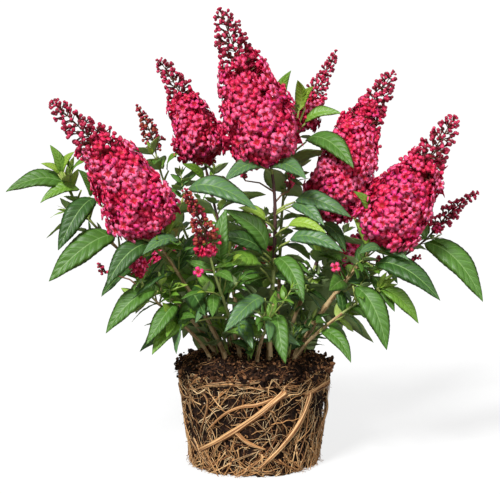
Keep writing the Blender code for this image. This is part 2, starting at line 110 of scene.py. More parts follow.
remesh = soil.modifiers.new("fine_faces", "REMESH")
remesh.mode = "VOXEL"
remesh.voxel_size = 2.0 * MM
for name, kind, scale, strength in (("clods", "CLOUDS", 0.020, 5.0), ("lumps", "CLOUDS", 0.008, 4.2),
                                    ("crumbs", "VORONOI", 0.005, -3.0)):
    relief = bpy.data.textures.new(name, kind)
    relief.noise_scale = scale
    push = soil.modifiers.new(name, "DISPLACE")
    push.texture = relief
    push.texture_coords = "GLOBAL"
    push.strength = strength * MM
    push.mid_level = 0.74
apply_all(soil)
bpy.ops.object.mode_set(mode="EDIT")
bpy.ops.mesh.select_all(action="SELECT")
bpy.ops.mesh.bisect(plane_co=(0, 0, 0.8 * MM), plane_no=(0, 0, 1), clear_inner=True, use_fill=True)
bpy.ops.mesh.select_all(action="SELECT")
bpy.ops.transform.translate(value=(0, 0, -0.8 * MM))
bpy.ops.object.mode_set(mode="OBJECT")
bpy.ops.object.shade_smooth()


def plain_material(name, colour, rough, vary=0.12, bump=0.25, size=900.0, glow=0.0, gloss=0.5, coat=0.0):
    """Base colour as 0-255 red, green and blue; noise varies the roughness and the relief."""
    material = bpy.data.materials.new(name)
    material.use_nodes = True
    nodes, links = material.node_tree.nodes, material.node_tree.links
    shader = nodes["Principled BSDF"]
    linear = [((c / 255 + 0.055) / 1.055) ** 2.4 if c > 10 else c / 255 / 12.92 for c in colour]
    shader.inputs["Base Color"].default_value = (*linear, 1)
    shader.inputs["Specular IOR Level"].default_value = gloss
    shader.inputs["Coat Weight"].default_value = coat
    if glow:
        shader.inputs["Subsurface Weight"].default_value = glow
        shader.inputs["Subsurface Radius"].default_value = (0.003, 0.002, 0.001)
        shader.inputs["Subsurface Scale"].default_value = 1.0
    place = nodes.new("ShaderNodeTexCoord")
    noise = nodes.new("ShaderNodeTexNoise")
    noise.inputs["Scale"].default_value = size
    noise.inputs["Detail"].default_value = 3
    spread = nodes.new("ShaderNodeMapRange")
    spread.inputs["To Min"].default_value = rough - vary
    spread.inputs["To Max"].default_value = min(rough + vary, 1.0)
    relief = nodes.new("ShaderNodeBump")
    relief.inputs["Strength"].default_value = bump
    relief.inputs["Distance"].default_value = 0.4 * MM
    links.new(place.outputs["Object"], noise.inputs["Vector"])
    links.new(noise.outputs["Fac"], spread.inputs["Value"])
    links.new(spread.outputs["Result"], shader.inputs["Roughness"])
    links.new(noise.outputs["Fac"], relief.inputs["Height"])
    links.new(relief.outputs["Normal"], shader.inputs["Normal"])
    return material


def compost_material():
    """Near-black peat with brown fibre and a few light specks."""
    material = plain_material("compost", (52, 34, 24), 0.92, 0.06, 0.8, 420.0, gloss=0.2)
    nodes, links = material.node_tree.nodes, material.node_tree.links
    place = next(n for n in nodes if n.type == "TEX_COORD")
    patches = nodes.new("ShaderNodeTexNoise")
    patches.inputs["Scale"].default_value = 190
    patches.inputs["Detail"].default_value = 6
    patches.inputs["Roughness"].default_value = 0.75
    tones = nodes.new("ShaderNodeValToRGB")
    ramp = tones.color_ramp
    ramp.elements[0].position = 0.36
    ramp.elements[0].color = (0.006, 0.003, 0.002, 1)
    ramp.elements[1].position = 0.80
    ramp.elements[1].color = (0.30, 0.17, 0.09, 1)
    for where, tone in ((0.50, (0.012, 0.005, 0.003, 1)), (0.60, (0.045, 0.020, 0.010, 1)),
                        (0.70, (0.120, 0.060, 0.028, 1))):
        ramp.elements.new(where).color = tone
    links.new(place.outputs["Object"], patches.inputs["Vector"])
    links.new(patches.outputs["Fac"], tones.inputs["Fac"])
    links.new(tones.outputs["Color"], nodes["Principled BSDF"].inputs["Base Color"])
    return material


soil.data.materials.append(compost_material())
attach(soil, "root")
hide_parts("root_ball")

# LOOSE CRUMBS of the compost: thousands of small lumps pressed into the top and side of
# the ball, thickest along its ragged rim, three shades of brown with some pale specks.
SOILS = [plain_material("crumb_black", (28, 15, 9), 0.95, 0.04, 0.6, 700, gloss=0.2),
         plain_material("crumb_brown", (78, 50, 32), 0.95, 0.04, 0.6, 700, gloss=0.2),
         plain_material("crumb_tan", (138, 96, 64), 0.9, 0.08, 0.6, 700, gloss=0.2),
         plain_material("crumb_pale", (206, 180, 148), 0.85, 0.1, 0.4, 700, gloss=0.2)]


def ball_radius(angle, z):
    """Radius of the worn side of the ball, as in the CAD model."""
    share = np.clip(z / RIM_Z, 0, 1.1)
    lumps = (0.9 * np.sin(5 * angle + 1.3) + 0.7 * np.sin(9 * angle + 3.7 * share)
             + 0.6 * np.sin(14 * angle + 5 * share))
    return FOOT_R + (RIM_R - FOOT_R) * share ** 0.9 + lumps * MM


def join_up(name, parts, materials, smooth=True):
    """One mesh object from many small shapes, each (points, lists of faces, their slots)."""
    points, faces, slots, start = [], [], [], 0
    for corners, groups, shades in parts:
        points.append(corners)
        for group, shade in zip(groups, shades):
            faces += (np.asarray(group) + start).tolist()
            slots += np.broadcast_to(shade, len(group)).tolist()
        start += len(corners)
    mesh = bpy.data.meshes.new(name)
    mesh.from_pydata(np.concatenate(points).tolist(), [], faces)
    mesh.polygons.foreach_set("material_index", slots)
    mesh.polygons.foreach_set("use_smooth", [smooth] * len(faces))
    for material in materials:
        mesh.materials.append(material)
    obj = bpy.data.objects.new(name, mesh)
    bpy.context.scene.collection.objects.link(obj)
    return obj


def ico():
    """The twelve corners and twenty faces of a small lump."""
    work = bmesh.new()
    bmesh.ops.create_icosphere(work, subdivisions=1, radius=1.0)
    corners = np.array([v.co[:] for v in work.verts])
    faces = np.array([[v.index for v in f.verts] for f in work.faces])
    work.free()
    return corners, faces


def turned(rng):
    """A random rotation as a 3 x 3 array."""
    axis = rng.normal(size=4)
    w, x, y, z = axis / np.linalg.norm(axis)
    return np.array([[1 - 2 * (y * y + z * z), 2 * (x * y - z * w), 2 * (x * z + y * w)],
                     [2 * (x * y + z * w), 1 - 2 * (x * x + z * z), 2 * (y * z - x * w)],
                     [2 * (x * z - y * w), 2 * (y * z + x * w), 1 - 2 * (x * x + y * y)]])


lump_points, lump_faces = ico()
rng = np.random.default_rng(3)
parts = []
for number in range(4200):
    angle = rng.uniform(0, 2 * math.pi)
    zone = rng.random()
    size = rng.uniform(0.5, 1.5) * MM
    if zone < 0.40:                                  # the domed top
        out = RIM_R * math.sqrt(rng.uniform(0.02, 0.98))
        low = np.interp(out, [0, 43 * MM, CROWN_R, 81 * MM, RIM_R],
                        [CROWN_Z + 1.5 * MM, CROWN_Z + 1.5 * MM, CROWN_Z, RIM_Z + 6 * MM, RIM_Z])
        height = low + rng.uniform(-1.0, 1.5) * MM
        size *= 1.25
    elif zone < 0.62:                                # the ragged rim
        height = RIM_Z + rng.normal(-1, 4.0) * MM
        out = ball_radius(angle, min(height, RIM_Z)) + rng.uniform(-3.0, 3.6) * MM
        size *= rng.choice((1.2, 2.1, 3.0), p=(0.72, 0.20, 0.08))
    else:                                            # the side
        height = rng.uniform(2, 116) * MM
        out = ball_radius(angle, height) + rng.uniform(-1.2, 1.0) * MM
    # the top gets a lighter mix of crumbs than the side: painted light that makes up for the shade of the foliage
    # over it
    shade = int(rng.choice(4, p=(0.26, 0.44, 0.24, 0.06) if zone < 0.40 else (0.50, 0.35, 0.12, 0.03)))
    if shade == 3:
        size *= 0.55
    lump = lump_points * rng.uniform(0.75, 1.25, (12, 1)) * rng.uniform(0.6, 1.3, 3) * size
    lump = lump @ turned(rng)
    centre = np.array([out * math.cos(angle), out * math.sin(angle), max(height, 2.4 * MM)])
    parts.append((centre + lump, [lump_faces], [shade]))
crumbs = join_up("crumbs", parts, SOILS, smooth=False)
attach(crumbs, "root")
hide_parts("root_ball")

# ROOTS: thick tan roots that the pot bent round the ball, each a bundle of ridged strands,
# over a net of fine pale rootlets. They lie half sunk in the side of the compost.
ROOT_TONES = [plain_material("root_tan", (196, 142, 88), 0.62, 0.12, 0.5, 500),
              plain_material("root_light", (234, 190, 134), 0.58, 0.12, 0.5, 500),
              plain_material("root_brown", (142, 92, 52), 0.70, 0.12, 0.5, 500),
              plain_material("rootlet_pale", (236, 204, 156), 0.6, 0.12, 0.4, 500),
              plain_material("rootlet_tan", (194, 146, 94), 0.66, 0.12, 0.4, 500),
              plain_material("root_dark", (66, 40, 24), 0.85, 0.1, 0.5, 500)]


def unit(v):
    return v / np.maximum(np.linalg.norm(v, axis=-1, keepdims=True), 1e-12)


def tube(path, radii, sides, shade, ridge=0.0, twist=0.0):
    """A closed tapering limb along the path, with flat ends; `ridge` flutes it."""
    path = np.asarray(path, float)
    radii = np.broadcast_to(radii, len(path))
    along = unit(np.gradient(path, axis=0))
    side = np.cross(along[0], (0.0, 1.0, 0.0))
    if np.linalg.norm(side) < 0.2:
        side = np.cross(along[0], (0.0, 0.0, 1.0))
    rings = []
    for i, (point, way) in enumerate(zip(path, along)):
        side = side - way * side.dot(way)
        side = side / np.linalg.norm(side)
        turn = np.arange(sides) * 2 * math.pi / sides + twist * i
        flute = radii[i] * (1 + ridge * np.cos(4 * turn))
        rings.append(point + flute[:, None] * (np.cos(turn)[:, None] * side
                                               + np.sin(turn)[:, None] * np.cross(way, side)))
    rows = len(path)
    j = np.arange(sides)
    k = (j + 1) % sides
    a = np.arange(rows - 1)[:, None] * sides
    walls = np.stack([a + j, a + k, a + sides + k, a + sides + j], -1).reshape(-1, 4)
    caps = np.stack([j[::-1], (rows - 1) * sides + j])
    return np.concatenate(rings), [walls, caps], [shade, shade]


def on_ball(angle, z, proud):
    """Points on the side of the ball; angle in radians, proud of it by the last value."""
    out = ball_radius(angle, z) + proud
    return np.stack([out * np.cos(angle), out * np.sin(angle), z], -1)


def smooth_line(knots, steps):
    """A curve through the knots, by Catmull-Rom."""
    knots = np.asarray(knots, float)
    padded = np.vstack([2 * knots[0] - knots[1], knots, 2 * knots[-1] - knots[-2]])
    share = np.linspace(0, len(knots) - 1, steps)
    i = np.minimum(share.astype(int), len(knots) - 2)
    t = (share - i)[:, None]
    a, b, c, d = padded[i], padded[i + 1], padded[i + 2], padded[i + 3]
    return 0.5 * (2 * b + (c - a) * t + (2 * a - 5 * b + 4 * c - d) * t ** 2
                  + (3 * b - a - 3 * c + d) * t ** 3)


def root_bundle(knots, radius, rng):
    """A thick root as ridged strands side by side over a darker body, painted shade in the gaps between them; knots
    as angle and height.
    """
    steps = 26
    line = smooth_line(knots, steps)
    angle, z = line[:, 0], line[:, 1]
    z = z + 0.5 * MM * np.sin(np.linspace(0, rng.uniform(5, 9), steps))
    middle = on_ball(angle, z, 0.0)
    outward = unit(middle * (1, 1, 0))
    across = unit(np.cross(outward, unit(np.gradient(middle, axis=0))))
    taper = np.interp(np.linspace(0, 1, steps), (0, 0.06, 0.6, 0.94, 1), (0.75, 1.0, 0.85, 0.5, 0.25))
    width = radius * taper * (1 + 0.10 * np.sin(np.linspace(0, rng.uniform(12, 20), steps) + rng.uniform(0, 6)))
    ends = np.interp(np.linspace(0, 1, steps), (0, 0.05, 0.95, 1), (-1.4, 0.0, 0.0, -1.4))
    body = middle + outward * (ends * radius + 0.10 * width + 0.7 * MM)[:, None]
    # the body is darker than its strands: painted shade that shows between them
    made = [tube(body, width * 0.92, 8, 5 if radius < 2 * MM else 2)]
    count = max(3, int(radius / MM * 2.6))
    for n in range(count):
        spot = -1 + 2 * (n + 0.5) / count
        wander = spot + 0.22 * np.sin(np.linspace(0, rng.uniform(3, 8), steps) + rng.uniform(0, 6))
        wander = np.clip(wander, -1, 1)
        lift = np.sqrt(np.maximum(1 - wander ** 2, 0)) * 0.72
        strand = body + across * (wander * width * 0.95)[:, None] + outward * (lift * width)[:, None]
        thick = radius * rng.uniform(0.20, 0.34) * taper * (3.4 / count * radius / (2 * MM)) ** 0.5
        made.append(tube(strand, thick, 4, int(rng.choice((0, 1, 2), p=(0.36, 0.48, 0.16)))))
    return made


def front(x, z, height=None):
    """Angle and height of a point on the front of the ball from its x and z, in mm."""
    out = ball_radius(-math.pi / 2, z * MM) / MM
    return -math.acos(max(min(x / out, 0.999), -0.999)), z * MM


# roots that show in the photograph, as x and z on the front of the ball, and their radius
FRONT_ROOTS = (
    (3.9, (39, 106), (20, 91), (-11, 66), (-42, 43), (-66, 22)),
    (2.1, (24, 98), (2, 90), (-18, 86), (-36, 76), (-56, 50)),
    (3.3, (68, 101), (59, 75), (41, 48), (20, 26), (3, 6)),
    (2.5, (-22, 57), (-9, 45), (15, 35)),
    (1.9, (-56, 111), (-27, 117), (-8, 117), (14, 119)),
    (1.4, (-60, 108), (-33, 113), (-9, 113), (12, 111), (36, 112), (60, 103)),
    (1.5, (-58, 101), (-53, 88), (-57, 66), (-63, 42)),
    (1.3, (-74, 95), (-75, 78), (-70, 60)),
    (1.6, (65, 80), (62, 58), (58, 41), (51, 18)),
    (1.1, (18, 85), (24, 72), (33, 54)),
    (0.9, (1, 71), (12, 60), (25, 51)),
    (1.7, (-35, 47), (-46, 27), (-54, 14)),
    (1.0, (-34, 43), (-27, 23), (-20, 12)),
    (1.4, (-26, 18), (-4, 29), (10, 36)),
    (0.9, (43, 52), (57, 37)),
    (1.5, (26, 35), (44, 25)),
    (1.1, (-81, 97), (-68, 103), (-51, 113)),
    (1.1, (25, 121), (29, 111), (42, 104), (60, 102)),
    (1.6, (-70, 40), (-62, 22), (-50, 8)),
    (1.4, (30, 44), (14, 22), (-4, 6)),
    (1.2, (72, 60), (70, 36), (64, 12)),
    (1.3, (-10, 20), (6, 9), (24, 5)),
)
rng = np.random.default_rng(8)
parts = []
for radius, *knots in FRONT_ROOTS:
    parts += root_bundle([front(x, z) for x, z in knots], radius * MM, rng)
for number in range(34):                             # the same kind of roots round the sides and back
    angle = math.radians(-12 + 204 * (number + rng.uniform(0.1, 0.9)) / 34)
    big = number % 4 == 0
    high = rng.uniform(70, 108) if number % 3 else rng.uniform(100, 118)
    low = rng.uniform(8, 50) if number % 3 else high - rng.uniform(-4, 14)
    sweep = math.radians(rng.choice((-1, 1)) * rng.uniform(18, 52))
    middle = (angle + sweep * 0.5, (high + low) / 2 * MM + rng.uniform(-7, 7) * MM)
    knots = [(angle, high * MM), middle, (angle + sweep, low * MM)]
    parts += root_bundle(knots, (rng.uniform(2.2, 3.5) if big else rng.uniform(1.0, 1.9)) * MM, rng)
thick_roots = join_up("roots", parts, ROOT_TONES)
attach(thick_roots, "root")
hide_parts("root_ball")

parts = []


def wander(angle, z, heading, steps, stride, rng, noise=0.10):
    """Angles and heights of a rootlet that runs almost straight over the side of the ball."""
    bend, sway, beat = rng.normal(0, 0.030), rng.uniform(0.05, 0.30), rng.uniform(0.7, 1.5)
    angles, heights = [], []
    for i in range(steps):
        angles.append(angle)
        heights.append(z)
        heading += bend + rng.normal(0, noise) + sway * math.cos(beat * i)
        angle += stride * math.cos(heading) / RIM_R
        z += stride * math.sin(heading)
        if not 1.2 * MM < z < 121 * MM:
            heading = -0.4 * heading
            z = min(max(z, 1.2 * MM), 121 * MM)
    return np.array(angles), np.array(heights), heading


for number in range(620):
    kind = rng.random()
    z = rng.uniform(6, 118) * MM
    if kind < 0.34:
        heading = math.radians(rng.normal(36, 14))
    elif kind < 0.56:
        heading = math.radians(rng.normal(128, 14))
    elif kind < 0.80:
        heading = math.radians(rng.normal(88, 16))
    else:
        heading = math.radians(rng.normal(0, 9))
        z = (rng.uniform(92, 119) if rng.random() < 0.7 else rng.uniform(2, 10)) * MM
    heading += rng.choice((0, math.pi))
    steps, stride = int(rng.integers(9, 19)), rng.uniform(2.6, 4.0) * MM
    start = rng.uniform(0, 2 * math.pi)
    thick = rng.choice((0.26, 0.38, 0.55, 0.85), p=(0.30, 0.38, 0.22, 0.10)) * MM
    angles, heights, _ = wander(start, z, heading, steps, stride, rng)
    proud = rng.uniform(-0.1, 1.5) * MM + 0.5 * MM * np.sin(np.linspace(0, 4, steps) + rng.uniform(0, 6))
    shade = int(rng.choice((3, 4, 1, 0, 2), p=(0.20, 0.26, 0.22, 0.16, 0.16)))
    parts.append(tube(on_ball(angles, heights, proud), thick * np.linspace(1, 0.4, steps), 4, shade))
    for branch in range(int(rng.integers(1, 4))):        # finer side roots
        at = int(rng.integers(1, steps - 2))
        turn = math.atan2(heights[at + 1] - heights[at], (angles[at + 1] - angles[at]) * RIM_R)
        turn += rng.choice((-1, 1)) * rng.uniform(0.35, 0.95)
        count = int(rng.integers(4, 9))
        more, high, _ = wander(angles[at], heights[at], turn, count, rng.uniform(1.8, 3.0) * MM, rng, 0.14)
        parts.append(tube(on_ball(more, high, proud[at] + np.linspace(0, rng.uniform(-0.5, 0.8), count) * MM),
                          min(thick * 0.6, 0.3 * MM) * np.linspace(1, 0.45, count), 3,
                          int(rng.choice((3, 4, 2), p=(0.45, 0.40, 0.15)))))
for number in range(240):                            # short ends that stand off the side and rim
    angle = rng.uniform(0, 2 * math.pi)
    z = (rng.uniform(8, 112) if number % 2 else rng.uniform(108, 124)) * MM
    foot = on_ball(np.array([angle]), np.array([z]), -1 * MM)[0]
    way = unit(np.array([math.cos(angle), math.sin(angle), rng.uniform(-1.2, 0.3)]))
    curl = np.array([0, 0, rng.uniform(-0.6, 0.2)])
    reach = rng.uniform(3.0, 8.0) * MM
    path = [foot + way * reach * t + curl * reach * t * t for t in (0, 0.35, 0.7, 1.0)]
    parts.append(tube(path, rng.uniform(0.3, 0.6) * MM * np.array((1, 0.9, 0.7, 0.4)), 3,
                      int(rng.choice((5, 2, 4), p=(0.55, 0.25, 0.20)))))
for number in range(170):                            # roots that run down and splay at the foot
    angle = rng.uniform(0, 2 * math.pi)
    drop, aside = rng.uniform(10, 38) * MM, rng.normal(0, 0.32)
    shares = np.linspace(0, 1, 7)
    heights = drop * (1 - shares) ** 1.3 + 1.1 * MM
    flare = rng.uniform(0.5, 8.5) * MM * shares ** 3 * (1 if number % 2 else 0.3)
    thick = rng.choice((0.35, 0.55, 0.9), p=(0.45, 0.35, 0.20)) * MM
    parts.append(tube(on_ball(angle + aside * shares, heights, 0.6 * MM + flare),
                      thick * np.linspace(1, 0.45, 7), 4, int(rng.choice((0, 1, 4, 2), p=(0.35, 0.25, 0.25, 0.15)))))
for number in range(260):                            # fibres matted over the rim and the domed top
    angle = rng.uniform(0, 2 * math.pi)
    out = RIM_R * rng.uniform(0.76, 1.0)
    along = rng.uniform(0.02, 0.22) * rng.choice((-1, 1))
    shares = np.linspace(0, 1, 7)
    radii = np.minimum(out + rng.uniform(-14, 10) * MM * shares, RIM_R + 2 * MM)
    low = np.interp(radii, [0, 43 * MM, CROWN_R, 81 * MM, RIM_R, RIM_R + 6 * MM],
                    [CROWN_Z + 1.5 * MM, CROWN_Z + 1.5 * MM, CROWN_Z, RIM_Z + 6 * MM, RIM_Z, RIM_Z - 5 * MM])
    turns = angle + along * shares
    height = low + rng.uniform(0.2, 2.0) * MM + 0.8 * MM * np.sin(6 * shares + rng.uniform(0, 6))
    path = np.stack([radii * np.cos(turns), radii * np.sin(turns), height], -1)
    parts.append(tube(path, rng.uniform(0.2, 0.5) * MM * np.linspace(1, 0.5, 7), 3,
                      int(rng.choice((2, 4, 5), p=(0.35, 0.15, 0.50)))))
fine_roots = join_up("rootlets", parts, ROOT_TONES)
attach(fine_roots, "root")
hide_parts("root_ball")

# STEMS: eighteen canes that come out of the compost together, woody and tan at the foot,
# green with leaves above, dark purple-brown under the flowers. Their centre lines are
# those of the CAD model. They are fluted tubes with a swelling at each pair of leaves.
STEMS = {   # as in the CAD source, in mm; angles in degrees
    "centre": (-60, 38, 3.0, (19, -15, 367), (-39, -35, 543), 43, 0.28, 0.50, 3, 60),
    "left_big": (-140, 44, 2.8, (-115, -85, 293), (-222, -125, 441), 38, 0.30, 0.86, 4, 84),
    "left_mid": (119, 26, 2.4, (-61, 60, 363), (-116, 80, 484), 29, 0.28, 0.84, 5, 86),
    "left_small": (125, 50, 2.1, (-122, 95, 368), (-145, 105, 425), 12, 0.26, 0.93, 5, 82),
    "right_back": (25, 42, 2.6, (96, 50, 291), (172, 75, 469), 38, 0.30, 0.83, 4, 84),
    "right_front": (-15, 54, 3.6, (143, -75, 284), (224, -105, 423), 39, 0.56, 0.92, 2, 66),
    "far_right": ("right_front", 0.50, 2.0, (214, -30, 288), (261, -30, 330), 13, 0.0, 0.9, 4, 58),
    "upper_right": (55, 50, 2.3, (58, 110, 399), (104, 130, 493), 19, 0.26, 0.95, 6, 80),
    "front_left": (-118, 34, 2.3, (-50, -125, 275), (-75, -150, 345), 16, 0.34, 0.84, 3, 56),
    "left_shoot": (-172, 46, 2.5, (-222, 10, 333), (-238, 14, 372), 0, 0.32, 1.0, 5, 72),
    "low_left": (-150, 60, 2.1, (-131, -100, 249), (-134, -110, 270), 10, 0.36, 0.92, 3, 48),
    "low_right": (-38, 61, 2.1, (147, -60, 224), (168, -62, 240), 0, 0.36, 1.0, 4, 46),
    "front_low": (-86, 52, 2.0, (22, -118, 214), (26, -132, 236), 0, 0.42, 1.0, 3, 42),
    "back_left": (146, 60, 2.4, (-110, 128, 206), (-152, 184, 262), 25, 0.30, 0.86, 4, 84),
    "back_mid": (92, 54, 2.4, (2, 146, 214), (6, 214, 276), 26, 0.28, 0.86, 4, 86),
    "back_right": (38, 61, 2.4, (112, 126, 204), (156, 184, 262), 25, 0.30, 0.86, 4, 82),
    "back_low_left": (116, 62, 2.1, (-66, 158, 176), (-82, 184, 194), 0, 0.30, 1.0, 4, 74),
    "back_low_right": (66, 62, 2.1, (72, 166, 178), (86, 192, 196), 0, 0.30, 1.0, 4, 74),
}
STRAIGHT_SPIKES = ("right_front", "upper_right")
UP = Vector((0, 0, 1))
GAP = 0.3 * MM


class Stem:
    """The centre line of one stem, from its foot to where its flower begins."""

    def __init__(self, name, row):
        self.name = name
        where, distance, radius, end, tip, bloom, bare, last, pairs, longest = row
        self.radius, self.bloom, self.longest = radius * MM, bloom * MM, longest * MM
        self.end, self.tip = Vector(end) * MM, Vector(tip) * MM
        self.bare, self.last, self.pairs = bare, last, pairs
        self.parent = where if isinstance(where, str) else None
        if self.parent:
            start, along = stems[where].at(distance)
            out = self.end - start
            out = (out - along * out.dot(along)).normalized()
            self.foot = start + out * (stems[where].thickness(distance) + GAP + self.radius)
            first = (along * 0.5 + out * 0.35 + (self.end - start).normalized()).normalized()
        else:
            turn = math.radians(where)
            self.foot = Vector((math.cos(turn) * distance * MM, math.sin(turn) * distance * MM,
                                134 * MM + GAP))
            first = ((self.end - self.foot).normalized() + UP * 0.45).normalized()
        chord = (self.end - self.foot).length
        a, d = self.foot, self.end
        b, c = a + first * chord * 0.33, d - self.spike(0.0)[1] * chord * 0.25
        self.line = []
        for i in range(41):
            t, s = i / 40, 1 - i / 40
            self.line.append(a * s ** 3 + b * 3 * s * s * t + c * 3 * s * t * t + d * t ** 3)
        self.sums = [0.0]
        for before, after in zip(self.line, self.line[1:]):
            self.sums.append(self.sums[-1] + (after - before).length)
        self.length = self.sums[-1]

    def spike(self, share):
        """Point and direction on the axis of the flower: a spike that leans arches over."""
        chord = self.tip - self.end
        lift = UP - chord.normalized() * chord.normalized().z
        bow = min(max((lift.length - 0.30) / 0.10, 0.0), 1.0)
        if self.bloom == 0 or self.name in STRAIGHT_SPIKES:
            bow = 0.0
        knee = (self.end + self.tip) * 0.5 + lift.normalized() * 0.11 * bow * chord.length
        t, s = share, 1.0 - share
        point = self.end * s * s + knee * 2 * s * t + self.tip * t * t
        return point, ((knee - self.end) * s + (self.tip - knee) * t).normalized()

    def at(self, share):
        """Point and direction at a share of the stem's length."""
        want = min(max(share, 0.0), 1.0) * self.length
        i = 0
        while i < len(self.sums) - 2 and self.sums[i + 1] < want:
            i += 1
        t = (want - self.sums[i]) / (self.sums[i + 1] - self.sums[i])
        return self.line[i].lerp(self.line[i + 1], t), (self.line[i + 1] - self.line[i]).normalized()

    def thickness(self, share):
        return self.radius * (1 + 0.25 * max(0.0, 1 - share / 0.06)) * (1 - 0.52 * share)

    def nearest_share(self, point, lowest):
        """Where a side twig to the point starts: a little below the nearest place."""
        best = min(range(61), key=lambda i: (self.at(i / 60)[0] - point).length) / 60
        away = (self.at(best)[0] - point).length
        return max(lowest, best - 0.45 * away / self.length)


stems = {}
for name, row in STEMS.items():
    stems[name] = Stem(name, row)

BARKS = [plain_material("bark_tan", (200, 172, 126), 0.72, 0.14, 0.7, 350),
         plain_material("bark_brown", (158, 124, 82), 0.76, 0.14, 0.7, 350),
         plain_material("stem_green", (166, 178, 104), 0.6, 0.12, 0.3, 500),
         plain_material("stem_purple", (84, 50, 44), 0.58, 0.12, 0.3, 500),
         plain_material("stem_young", (170, 186, 104), 0.55, 0.12, 0.3, 500),
         plain_material("stem_dark", (62, 34, 34), 0.58, 0.12, 0.3, 500)]
# the part of each stem, from its foot, where the bark is woody, and where it turns dark
ZONES = {"centre": (0.10, 0.48), "left_big": (0.86, 0.95), "left_mid": (0.34, 0.58),
         "left_small": (0.34, 2.0), "right_back": (0.38, 0.62), "right_front": (0.88, 0.94),
         "far_right": (0.0, 0.6), "upper_right": (0.3, 2.0), "front_left": (0.30, 2.0),
         "left_shoot": (0.78, 2.0), "low_left": (0.72, 2.0), "low_right": (0.6, 2.0)}


def stem_parts(stem):
    """The fluted tube of one stem, its shades by zone."""
    rng = np.random.default_rng(40 + list(stems).index(stem.name))
    nodes = [stem.bare + 0.05 + (stem.last - stem.bare - 0.07) * n / max(stem.pairs - 1, 1)
             for n in range(stem.pairs)]
    nodes += [stem.bare * 0.35, stem.bare * 0.72, stem.last + (1 - stem.last) * 0.5]
    steps, sides = 76, 10
    shares = np.linspace(0, 1, steps)
    path = np.array([stem.at(s)[0][:] for s in shares])
    radii = np.array([stem.thickness(s) for s in shares])
    for node in nodes:
        radii *= 1 + 0.30 * np.exp(-((shares - node) * stem.length / (2.4 * MM)) ** 2)
    if not stem.parent:
        below = np.array([stem.foot[:]]) - [(0, 0, 9 * MM)]
        path = np.concatenate([below, path])
        radii = np.concatenate([[radii[0] * 1.25], radii])
        shares = np.concatenate([[0], shares])
    else:
        path[0] = np.array((stem.foot - (stem.foot - stems[stem.parent].at(0.5)[0]) * 0.9)[:])
    points, groups, _ = tube(path, radii, sides, 0, ridge=0.07)
    rough = rng.uniform(-0.05, 0.05, (1, sides, 1)) + rng.uniform(-0.02, 0.02, (len(path), sides, 1))
    rings = points.reshape(len(path), sides, 3)
    rings = path[:, None] + (rings - path[:, None]) * (1 + rough)
    woody, dark = ZONES.get(stem.name, (0.45, 2.0))
    shades = []
    for i in range(len(path) - 1):
        share = shares[i] + rng.uniform(-0.03, 0.03)
        if share > dark:
            pair = (3, 5)
        elif share < woody:
            pair = (0, 1)
        else:
            pair = (2, 2) if share < 0.8 else (4, 2)
        streak = rng.random(sides) < 0.3 if i % 4 == 0 else streak
        shades += [pair[int(s)] for s in streak]
    return rings.reshape(-1, 3), groups, [np.array(shades), 1]


parts = [stem_parts(stem) for stem in stems.values()]
stem_piece = join_up("stems", parts, BARKS)
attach(stem_piece, "root")
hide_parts(*[n for n in frame["nodes"] if n.startswith("cane_")])

# LEAVES, the blade: lance-shaped, toothed, folded up along a sunk pale midrib, quilted
# between its side veins, arching down to a long point; darker above, grey-green below.
GREENS = [plain_material("leaf_deep", (50, 88, 32), 0.5, 0.10, 0.3, 500),
          plain_material("leaf_mid", (74, 118, 38), 0.5, 0.10, 0.3, 500),
          plain_material("leaf_fresh", (104, 150, 46), 0.44, 0.10, 0.3, 500),
          plain_material("leaf_young", (142, 178, 60), 0.48, 0.10, 0.3, 500),
          # grey-green blades: partly the leaf's own tone, partly painted sheen of a bright sky
          plain_material("leaf_grey_green_sheen", (82, 120, 76), 0.44, 0.10, 0.3, 500),
          plain_material("leaf_under", (148, 172, 112), 0.66, 0.10, 0.3, 500),
          plain_material("leaf_under_young", (178, 204, 104), 0.62, 0.10, 0.3, 500),
          plain_material("rib_dark", (118, 154, 84), 0.5, 0.10, 0.2, 500),
          plain_material("vein_dark", (70, 112, 52), 0.46, 0.10, 0.2, 500),
          plain_material("vein_mid", (92, 138, 58), 0.46, 0.10, 0.2, 500),
          plain_material("vein_fresh", (130, 172, 70), 0.5, 0.10, 0.2, 500),
          plain_material("twig_green", (158, 172, 88), 0.6, 0.1, 0.3, 500),
          plain_material("twig_brown", (140, 108, 72), 0.66, 0.1, 0.4, 500)]
DEEP, MID, FRESH, YOUNG, GREY_SHEEN, UNDER, UNDER_YOUNG, RIB, VEIN, VEIN_MID, VEIN_FRESH, TWIG, TWIG_BROWN = range(13)
for material in GREENS[:TWIG]:                       # thin blades let some light through
    shader = material.node_tree.nodes["Principled BSDF"]
    shader.inputs["Subsurface Weight"].default_value = 0.12
    shader.inputs["Subsurface Radius"].default_value = (0.0022, 0.0034, 0.0006)
    shader.inputs["Subsurface Scale"].default_value = 1.0
VEIN_OF = {DEEP: VEIN, GREY_SHEEN: VEIN_MID, MID: VEIN_MID, FRESH: VEIN_FRESH, YOUNG: YOUNG}
RIB_OF = {DEEP: RIB, GREY_SHEEN: RIB, MID: RIB, FRESH: VEIN_FRESH, YOUNG: UNDER_YOUNG}


